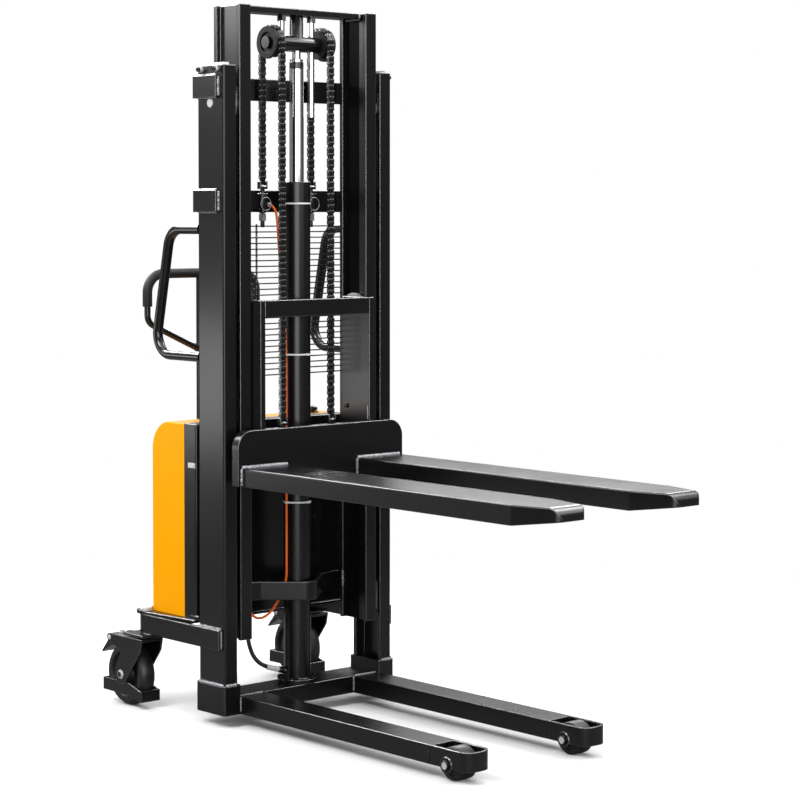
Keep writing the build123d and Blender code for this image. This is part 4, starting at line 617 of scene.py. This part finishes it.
# Cords: the orange sensor cable down the cylinder and the pressure hose to its port
def cord_curve(name, points, radius, finish, body):
    """A smooth round cord through control points, in millimetres."""
    data = bpy.data.curves.new(name, "CURVE")
    data.dimensions = "3D"
    data.bevel_depth = radius * MM
    data.bevel_resolution = 4
    data.use_fill_caps = True
    data.resolution_u = 10
    line = data.splines.new("NURBS")
    line.points.add(len(points) - 1)
    for point, spot in zip(line.points, points):
        point.co = (*at(*spot), 1)
    line.order_u = 3
    line.use_endpoint_u = True
    data.materials.append(finish)
    made = bpy.data.objects.new(name, data)
    bpy.context.collection.objects.link(made)
    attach(made, body)
    return made


CABLE_R = 3.5
TIED = (-43.5, 51)      # x and distance back of the stretch that is tied to the cylinder
CABLE_ROUTE = [
    (-64, 115, 1416), (-64, 94, 1416), (-64, 76, 1405), (-63, 66, 1386), (-60, 62, 1290),
    (*TIED, 1060), (*TIED, 829), (*TIED, 417), (*TIED, 372),
    (-50, 66, 330), (-58, 80, 300), (-70, 94, 275), (-86, 108, 261), (-100, 122, 262),
    (-110, 137, 282), (-110, 160, 282),
]
cable = cord_curve("orange_cable", CABLE_ROUTE, CABLE_R, cable_pvc, "chassis")
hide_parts("sensor_cable")

PORT_ANGLE = radians(162)
PORT_PITCH = radians(15)
PORT_REACH = 58.0
FERRULE = 37.0
PORT_Z = 104.0
port_aim = Vector((
    cos(PORT_ANGLE) * cos(PORT_PITCH), sin(PORT_ANGLE) * cos(PORT_PITCH), sin(PORT_PITCH),
))


def from_port(reach):
    """A point on the port's axis, as (x, distance behind the mast, z)."""
    return (port_aim.x * reach, MAST_MID + port_aim.y * reach, PORT_Z + port_aim.z * reach)


HOSE_R = 6.0
HOSE_ROUTE = [
    (-132, 160, 340), (-132, 138, 340), (-132, 121, 322), (-132, 117, 296), (-133, 116, 250),
    (-131, 115, 205), (-122, 108, 165), (-108, 97, 141),
    from_port(PORT_REACH + FERRULE), from_port(PORT_REACH + FERRULE / 2),
]
hose = cord_curve("hydraulic_hose", HOSE_ROUTE, HOSE_R, hose_rubber, "chassis")
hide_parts("pressure_hose")

NUT_R = 8.9
NUT_SPAN = (1.5, 11.0)
fitting = bmesh.new()
mouth = at(*from_port(PORT_REACH))
lathe(fitting, mouth, port_aim, [
    (0, 0.2), (6.6, 0.2), (6.6, 12.5), (5.8, 13), (5.8, 14.5), (7.4, 15), (7.6, 17), (7.0, 18.5),
    (7.6, 20), (7.0, 21.5), (7.6, 23), (7.0, 24.5), (7.6, 26), (7.0, 27.5), (7.6, 31), (7.4, 36.5),
    (6.1, FERRULE), (0, FERRULE),
], count=28)
prism(fitting, standing(mouth, port_aim), hexagon(NUT_R), *NUT_SPAN)
crimp = piece_from("hose_crimp", fitting, zinc_flake, "chassis")

# Chain: packs of figure-eight plates on pins, laid out as in the solid
PITCH = 15.875
TEETH = 17
WRAPPED = 8         # pins that lie on a wheel
CHAIN_X = 87.0
CROSSHEAD_Z = 1861.0
CHAIN_R = PITCH / 2 / sin(pi / TEETH)
FRONT_PITCHES = 65
REAR_PITCHES = 24
PLATE_R = 6.2
PLATE_WAIST = 4.6
PLATE_STEPS = 6
OUTER_LANES = [(-9.2, -7.0), (-3.4, -1.2), (1.2, 3.4), (7.0, 9.2)]
INNER_LANES = [(-6.8, -4.5), (-1.1, 1.1), (4.5, 6.8)]
CHAIN_PIN_R = 2.8
PIN_HALF = 10.4
PIN_TAPER = (0.6, 0.8)      # how much a pin's ends lose in radius, and over which length
CHAIN_SMOOTH = 40
wrap_angles = [2 * pi / TEETH * (k + 0.5) for k in range(-WRAPPED // 2, WRAPPED // 2)]
wrap_pins = [(MAST_MID + CHAIN_R * sin(a), CROSSHEAD_Z + CHAIN_R * cos(a)) for a in wrap_angles]
first_drop = sqrt(PITCH**2 - (CHAIN_R * (1 - sin(wrap_angles[-1]))) ** 2)
STRAIGHT_TOP = CROSSHEAD_Z + CHAIN_R * cos(wrap_angles[-1]) - first_drop
front_pins = [(MAST_MID - CHAIN_R, STRAIGHT_TOP - k * PITCH) for k in range(FRONT_PITCHES, -1, -1)]
rear_pins = [(MAST_MID + CHAIN_R, STRAIGHT_TOP - k * PITCH) for k in range(REAR_PITCHES + 1)]


def link_outline():
    """Figure-eight outline of a chain plate, along its first axis."""
    half = PITCH / 2
    points = []
    for middle, first in ((half, -pi / 2), (-half, pi / 2)):
        for i in range(PLATE_STEPS + 1):
            a = first + pi * i / PLATE_STEPS
            points.append((middle + PLATE_R * cos(a), PLATE_R * sin(a)))
        points.append((0, PLATE_WAIST if middle > 0 else -PLATE_WAIST))
    return points


LINK = link_outline()


def chain_run(mesh, x, pins, first_outer):
    """Links along a run of pins: inner and outer packs of plates in turn."""
    for i, ((y0, z0), (y1, z1)) in enumerate(zip(pins, pins[1:])):
        along = Vector((0, y1 - y0, z1 - z0)).normalized()
        across = X.cross(along)
        middle = at(x, (y0 + y1) / 2, (z0 + z1) / 2)
        turn_matrix = Matrix.Translation(middle) @ Matrix((along, across, X)).transposed().to_4x4()
        for low, high in OUTER_LANES if i % 2 == first_outer else INNER_LANES:
            prism(mesh, turn_matrix, LINK, low, high)


def chain_piece(name, pins, first_outer):
    """Both sides' links and pins, as two meshes that no body carries yet."""
    links, bolts = bmesh.new(), bmesh.new()
    narrow, taper = CHAIN_PIN_R - PIN_TAPER[0], PIN_TAPER[1]
    pin_profile = [
        (0, 0), (narrow, 0), (CHAIN_PIN_R, taper),
        (CHAIN_PIN_R, 2 * PIN_HALF - taper), (narrow, 2 * PIN_HALF), (0, 2 * PIN_HALF),
    ]
    for sign in SIDES.values():
        chain_run(links, sign * CHAIN_X, pins, first_outer)
        for y, z in pins[:-1]:
            lathe(bolts, at(sign * CHAIN_X - PIN_HALF, y, z), X, pin_profile, count=10)
    made = (
        piece_from(name, links, chain_steel, body=None, smooth_angle=CHAIN_SMOOTH),
        piece_from(f"{name}_pins", bolts, pin_steel, body=None, smooth_angle=CHAIN_SMOOTH),
    )
    return made


over_pins = [front_pins[-1]] + wrap_pins + [rear_pins[0]]
wrap = chain_piece("chain_over_wheels", over_pins, FRONT_PITCHES % 2)
for part in wrap:
    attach(part, "crosshead")
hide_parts("chain_wraps")
FRONT_SPLIT = 8     # links of the front run below the split
REAR_SPLIT = 13     # links of the rear run above the split
front_low = chain_piece("front_chain_lower", front_pins[:FRONT_SPLIT + 1], first_outer=0)
front_high = chain_piece("front_chain_upper", front_pins[FRONT_SPLIT:], FRONT_SPLIT % 2)
rear_first = (FRONT_PITCHES + len(over_pins) - 1) % 2
rear_high = chain_piece("rear_chain_upper", rear_pins[:REAR_SPLIT + 1], rear_first)
rear_low = chain_piece("rear_chain_lower", rear_pins[REAR_SPLIT:], (rear_first + REAR_SPLIT) % 2)
for part in front_high:
    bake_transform(part)
for part in front_low:
    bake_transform(part)
for part in rear_high:
    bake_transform(part)
for part in rear_low:
    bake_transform(part)
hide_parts("front_chains")
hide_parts("rear_chains")

# Nylon ties that hold the cable to the cylinder, and a nylon band at the cylinder's top
CYLINDER_R = 38.0
CABLE_AT = (TIED[0], TIED[1] - MAST_MID)
TIE_T = 1.1
TIE_STEPS = (40, 10)


def tie_outline():
    """Belt round the cylinder and the cable, seen from above, about the cylinder's axis."""
    aim = atan2(CABLE_AT[1], CABLE_AT[0])
    big, small = CYLINDER_R + TIE_T, CABLE_R + TIE_T
    lean = acos((big - small) / hypot(*CABLE_AT))
    round_big, round_small = TIE_STEPS
    wide = [aim + lean + (2 * pi - 2 * lean) * i / round_big for i in range(round_big + 1)]
    tight = [aim - lean + 2 * lean * i / round_small for i in range(round_small + 1)]
    return [(big * cos(a), big * sin(a)) for a in wide] + [
        (CABLE_AT[0] + small * cos(a), CABLE_AT[1] + small * sin(a)) for a in tight
    ]


TIE_WIDTH = 4.5
TIE_HEIGHTS = (1000, 588)
TIE_HEAD_X = 6
TIE_HEAD = rectangle(-4, 4, -3, 3)
TIE_HEAD_SPAN = (-1, 4)
TIE_TAIL = rectangle(4, 10, -1.6, 1.6)
TIE_TAIL_SPAN = (1, 2.2)
UPPER_TIE_Z = 1417.0
ties = bmesh.new()
for tie_z in TIE_HEIGHTS:
    middle = at(0, MAST_MID, tie_z)
    prism(ties, Matrix.Translation(middle), tie_outline(), -TIE_WIDTH / 2, TIE_WIDTH / 2)
    head = standing(at(TIE_HEAD_X, MAST_MID - CYLINDER_R - TIE_T, tie_z), -Y)
    prism(ties, head, TIE_HEAD, *TIE_HEAD_SPAN)
    prism(ties, head, TIE_TAIL, *TIE_TAIL_SPAN)
lathe(ties, at(0, MAST_MID, UPPER_TIE_Z), Z, [
    (CYLINDER_R, 0), (CYLINDER_R + TIE_T, 0), (CYLINDER_R + TIE_T, TIE_WIDTH), (CYLINDER_R, TIE_WIDTH),
], count=48)
piece_from("cable_ties", ties, tie_nylon, "chassis")

# Welds: rippled beads where plates and bars meet, one mesh for each body
OUTER_X = 300.0
FOOT_TOP = 115.0
FOOT_IN = 262.0
LEG_TOP = 82.0
LEG_REACH = 757.0
LEG_SIDES = (163.0, 249.0)
BAR_FEET = (1703.0, 1395.0)
BAR_HEIGHT = 60.0
BAR_WELD_X = OUTER_X + 3
FRAME_WELD_Z = 267
DECK_WELD_Z = 281
FORK_TOP = 710.0
FORK_CENTRE = 204.5
FORK_HALF = 78.5
FORK_HEIGHT = 50.0
FORK_FOOT = FORK_TOP - FORK_HEIGHT
FORK_WELD = -54.5
CHEEK_WELD = (186, -30)
CHEEK_WELD_ZS = (812, 850)
BEAM_IN_X = 206.0
BEAM_WELD_X = BEAM_IN_X - 1
WELD_SMOOTH = 60

frame_beads = []
for foot in BAR_FEET:
    head = foot + BAR_HEIGHT
    frame_beads += [
        ((BAR_WELD_X, 18.5, foot + 3), (BAR_WELD_X, 18.5, head - 3), 4.6),
        ((BAR_WELD_X, 26, head + 1), (BAR_WELD_X, 108, head + 1), 3.4),
        ((BAR_WELD_X, 26, foot - 1), (BAR_WELD_X, 108, foot - 1), 2.6),
    ]
frame_beads += [
    ((OUTER_X + 2, 4, FOOT_TOP), (OUTER_X + 2, 112, FOOT_TOP), 5.4),
    ((FOOT_IN, -2, FOOT_TOP), (OUTER_X - 2, -2, FOOT_TOP), 5.0),
    ((OUTER_X + 4, 10.5, 214), (OUTER_X + 4, 10.5, FRAME_WELD_Z - 3), 2.4),
    ((OUTER_X + 3, 14, FRAME_WELD_Z), (OUTER_X + 3, 112, FRAME_WELD_Z), 5.6),
    ((274, 152, DECK_WELD_Z), (270, 222, DECK_WELD_Z), 2.8),
    ((LEG_SIDES[0] + 3, 4.5, LEG_TOP), (LEG_SIDES[1] - 3, 4.5, LEG_TOP), 2.6),
    ((LEG_SIDES[1], -4, 40), (LEG_SIDES[1], -4, LEG_TOP - 2), 3.0),
    ((LEG_SIDES[0], 4, 38), (LEG_SIDES[0], 4, LEG_TOP - 2), 3.0),
]
chassis_welds = bmesh.new()
mirrored_beads(chassis_welds, frame_beads)
beads = piece_from("frame_weld_beads", chassis_welds, weld_metal, "chassis", smooth_angle=WELD_SMOOTH)

carriage_welds = bmesh.new()
for sign in SIDES.values():
    left, right = sign * FORK_CENTRE - FORK_HALF, sign * FORK_CENTRE + FORK_HALF
    ends = (at(x, FORK_WELD, FORK_TOP) for x in (left, right))
    weld_bead(carriage_welds, *ends, radius=6.2)
    for edge in (left, right):
        ends = (at(edge, FORK_WELD, z) for z in (FORK_FOOT + 2, FORK_TOP - 2))
        weld_bead(carriage_welds, *ends, radius=4.6)
    foot, head = (on_side(sign, *CHEEK_WELD, z) for z in CHEEK_WELD_ZS)
    weld_bead(carriage_welds, foot, head, radius=2.4)
beads = piece_from(
    "carriage_weld_beads", carriage_welds, weld_metal, "carriage", smooth_angle=WELD_SMOOTH,
)

mast_welds = bmesh.new()
mirrored_beads(mast_welds, [
    ((BEAM_IN_X, 102.5, 321), (BEAM_IN_X, 102.5, 368), 3.8),
    ((BEAM_WELD_X, 28, 1938), (BEAM_WELD_X, 86, 1938), 2.8),
    ((BEAM_WELD_X, 27, 1940), (BEAM_WELD_X, 27, 1953), 2.8),
])
beads = piece_from("mast_weld_beads", mast_welds, weld_metal, "inner_mast", smooth_angle=WELD_SMOOTH)

# Bright fittings of the frame: mast bolts, the tiller's pivot, the cable gland and the latch
TOP_BOLT_Z = 1779
TOP_BOLT_BACKS = (92, 24)
FOOT_BOLT_R = 47
FOOT_BOLT_Z = 94
FOOT_BOLT_ANGLES = (45, 135)
PIVOT = (26.3, 493, 239)
LATCH = at(-275, 178, 698)
LATCH_PLATE = rectangle(-16, 16, -7, 7)
LATCH_HASP = rectangle(-9, 13, -3.5, 3.5)
LATCH_T = 2.4
LATCH_TOP = 5.0
fittings = bmesh.new()
dark_ends = bmesh.new()
for sign in SIDES.values():
    for back in TOP_BOLT_BACKS:
        spot = on_side(sign, OUTER_X, back, TOP_BOLT_Z)
        lathe(fittings, spot, X * sign, [
            (0, 0), (7.6, 0), (7.6, 10), (6.8, 11), (0, 11),
        ], count=BOLT_COUNT)
        lathe(dark_ends, spot, X * sign, [
            (0, 11), (6.2, 11), (6.2, 17), (5, 18.5), (2.8, 18.5), (2.6, 15), (0, 15),
        ], count=BOLT_COUNT)
    for angle in FOOT_BOLT_ANGLES:
        turn = radians(angle * sign)
        foot_bolt = at(FOOT_BOLT_R * cos(turn), MAST_MID + FOOT_BOLT_R * sin(turn), FOOT_BOLT_Z)
        hex_bolt(dark_ends, foot_bolt, Z, size=8.0)
    hex_bolt(fittings, on_side(sign, *PIVOT), X * sign, size=13.0)
lathe(fittings, at(*CABLE_ROUTE[0]), -Y, [
    (0, 0), (8, 0), (8, 5), (5.8, 5.6), (5.8, 20), (4.4, 22), (0, 22),
], count=BOLT_COUNT)
prism(fittings, standing(LATCH, -X), LATCH_PLATE, 0, LATCH_T)
prism(fittings, standing(LATCH, -X), LATCH_HASP, LATCH_T, LATCH_TOP)
piece_from("frame_fittings", fittings, bright_steel, "chassis")

# Dark fittings: bolt plates, leg seams, rings on the load axles, handle roots and the stop's collar
HOUSING_SCREW = (147, 159.8, 524)
TOP_PLATE_FOOT = OUTER_X + 0.2
TOP_PLATE_X = (-0.4, 2.4)
TOP_PLATE_BACKS = (8, 104)
TOP_PLATE_ZS = (1767, 1788)
SEAM_ZS = (38, LEG_TOP - 3)
LOAD_AXLE = (-820.0, 42.0)
AXLE_OUT = 8.0          # from the leg's side to the face of the axle's head
HANDLE_X = 284.0
HANDLE_BACK = 115
HANDLE_ENDS = (1349, 1000)
STOP = (212, 250, 812)
hex_bolt(dark_ends, at(*HOUSING_SCREW), -Y, size=5.0)
for sign in SIDES.values():
    side_face = Matrix.Translation(on_side(sign, TOP_PLATE_FOOT, 0, 0))
    plate = rectangle(sign * TOP_PLATE_X[0], sign * TOP_PLATE_X[1], *TOP_PLATE_BACKS)
    prism(dark_ends, side_face, plate, *TOP_PLATE_ZS)
    for leg_side in LEG_SIDES:
        ends = (on_side(sign, leg_side, -LEG_REACH, z) for z in SEAM_ZS)
        weld_bead(dark_ends, *ends, radius=1.8)
    for leg_side, way in zip(LEG_SIDES, (-1, 1)):
        hub = on_side(sign, leg_side + way * AXLE_OUT, *LOAD_AXLE)
        lathe(dark_ends, hub, X * sign * way, [
            (9.6, 0), (9.6, 0.9), (12.2, 0.9), (13, 0.2), (13, -5), (12, -5), (12, 0),
        ])
    for handle_z in HANDLE_ENDS:
        root = on_side(sign, HANDLE_X, HANDLE_BACK, handle_z)
        lathe(dark_ends, root, Y, [(14, 0), (18.5, 0), (17.5, 2.2), (14.2, 4.5)], count=28)
lathe(dark_ends, at(*STOP), Z, [
    (18.8, 0), (22, 0), (22, 2), (21, 3.4), (19.4, 3.6), (18.8, 3.2),
], count=40)
piece_from("frame_dark_fittings", dark_ends, knob_plastic, "chassis")

# Lower nuts and split rings of the rear chain anchors
ANCHOR_NUT_R = 10.5
ANCHOR_NUT_FOOT = 1371.0
ANCHOR_NUT_HEIGHT = 20.0
RING_PLACE = (85.0, 1418.0)
anchor_nuts, anchor_tails = bmesh.new(), bmesh.new()
for sign in SIDES.values():
    foot = on_side(sign, CHAIN_X, MAST_MID + CHAIN_R, ANCHOR_NUT_FOOT)
    prism(anchor_nuts, Matrix.Translation(foot), hexagon(ANCHOR_NUT_R), 0, ANCHOR_NUT_HEIGHT)
    wire_ring(anchor_nuts, on_side(sign, CHAIN_X, *RING_PLACE), Y, radius=18.0, wire=1.3)
    lathe(anchor_tails, foot, -Z, [(0, 0), (6, 0), (6, 15), (4.8, 18), (0, 18)], count=20)
piece_from("anchor_nuts", anchor_nuts, weld_metal, "chassis")
piece_from("anchor_tails", anchor_tails, chain_steel, "chassis")

# Slide pads of white nylon on top of the outer mast
PAD_XS = (279, 298)
PAD_BACKS = (2, 62)
PAD_FOOT = 1790
PAD_HEIGHT = 6.5
pads = bmesh.new()
for sign in SIDES.values():
    outline = rectangle(*sorted(sign * x for x in PAD_XS), *PAD_BACKS)
    prism(pads, Matrix.Translation(at(0, 0, PAD_FOOT)), outline, 0, PAD_HEIGHT)
piece_from("mast_slide_pads", pads, tie_nylon, "chassis")

# Cap discs on the deck
CAP = (296, 369, 275)
caps = bmesh.new()
for sign in SIDES.values():
    lathe(caps, on_side(sign, *CAP), Z, [(18, 0.4), (19, 0.4), (19, 8.2), (17.4, 9.8), (0, 9.8)])
piece_from("deck_cap_discs", caps, bright_steel, "chassis")

# Casters: axle bolt, rivets of the pedal and the bolt on it
CASTER_X = 304
YOKE_FACE = 37.4
CASTER_AXLE = (428, 90)
PEDAL_RIVET = (483, 188)
PEDAL_BOLT = (474, 199.6)
AXLE_WASHER_T = 1.6
AXLE_BOLT_R = 9.8
AXLE_BOLT_TOP = 5.0
for side, sign in SIDES.items():
    hardware = bmesh.new()
    for way in (-1, 1):
        face = sign * CASTER_X + way * YOKE_FACE
        spot = at(face, *CASTER_AXLE)
        lathe(hardware, spot, X * way, [
            (0, 0), (13, 0), (13, AXLE_WASHER_T), (0, AXLE_WASHER_T),
        ], count=28)
        prism(hardware, standing(spot, X * way), hexagon(AXLE_BOLT_R), AXLE_WASHER_T, AXLE_BOLT_TOP)
        rivet = at(face, *PEDAL_RIVET)
        lathe(hardware, rivet, X * way, [(0, 0), (7, 0), (6.4, 1.8), (4, 3), (0, 3.4)], count=BOLT_COUNT)
    bolts = piece_from(f"caster_bolts_{side}", hardware, bright_steel, f"caster_{side}")
    pedal = bmesh.new()
    hex_bolt(pedal, on_side(sign, CASTER_X, *PEDAL_BOLT), Z, size=8.6)
    piece_from(f"pedal_bolt_{side}", pedal, bright_steel, f"brake_{side}")

# Bolts on the inner faces of the carriage's sides
CHEEK_BOLT = (187, 62, 845)
carriage_bolts = bmesh.new()
for sign in SIDES.values():
    hex_bolt(carriage_bolts, on_side(sign, *CHEEK_BOLT), X * -sign, size=7.0)
piece_from("carriage_bolts", carriage_bolts, chain_steel, "carriage")

# Dark seal band on the collar of the piston rod
COLLAR_FOOT = 1791.0
SEAL_IN = 18.2
SEAL_OUT = 19.8
band = bmesh.new()
lathe(band, at(0, MAST_MID, COLLAR_FOOT), Z, [
    (SEAL_IN, 1), (SEAL_OUT, 1), (SEAL_OUT, 19), (SEAL_IN, 20),
], count=40)
piece_from("collar_seal_band", band, chain_steel, "crosshead")

# Floor and surroundings: white behind the machine, softer where it lights it
floor_mesh = bmesh.new()
bmesh.ops.create_grid(floor_mesh, x_segments=2, y_segments=2, size=FLOOR_HALF)
floor = piece_from("studio_floor", floor_mesh, floor_white, body=None)
STUDIO_LIGHT = 0.16
sky = bpy.data.worlds.new("white_studio")
sky.use_nodes = True
tree = sky.node_tree
seen = tree.nodes["Background"]
seen.inputs["Color"].default_value = linear("#FFFFFF")
soft = add(tree, "ShaderNodeBackground", {"Color": linear("#FFFFFF"), "Strength": STUDIO_LIGHT})
ray = add(tree, "ShaderNodeLightPath")
both = add(
    tree, "ShaderNodeMixShader",
    {0: ray.outputs["Is Camera Ray"], 1: soft.outputs["Background"], 2: seen.outputs["Background"]},
)
tree.links.new(both.outputs["Shader"], tree.nodes["World Output"].inputs["Surface"])
bpy.context.scene.world = sky
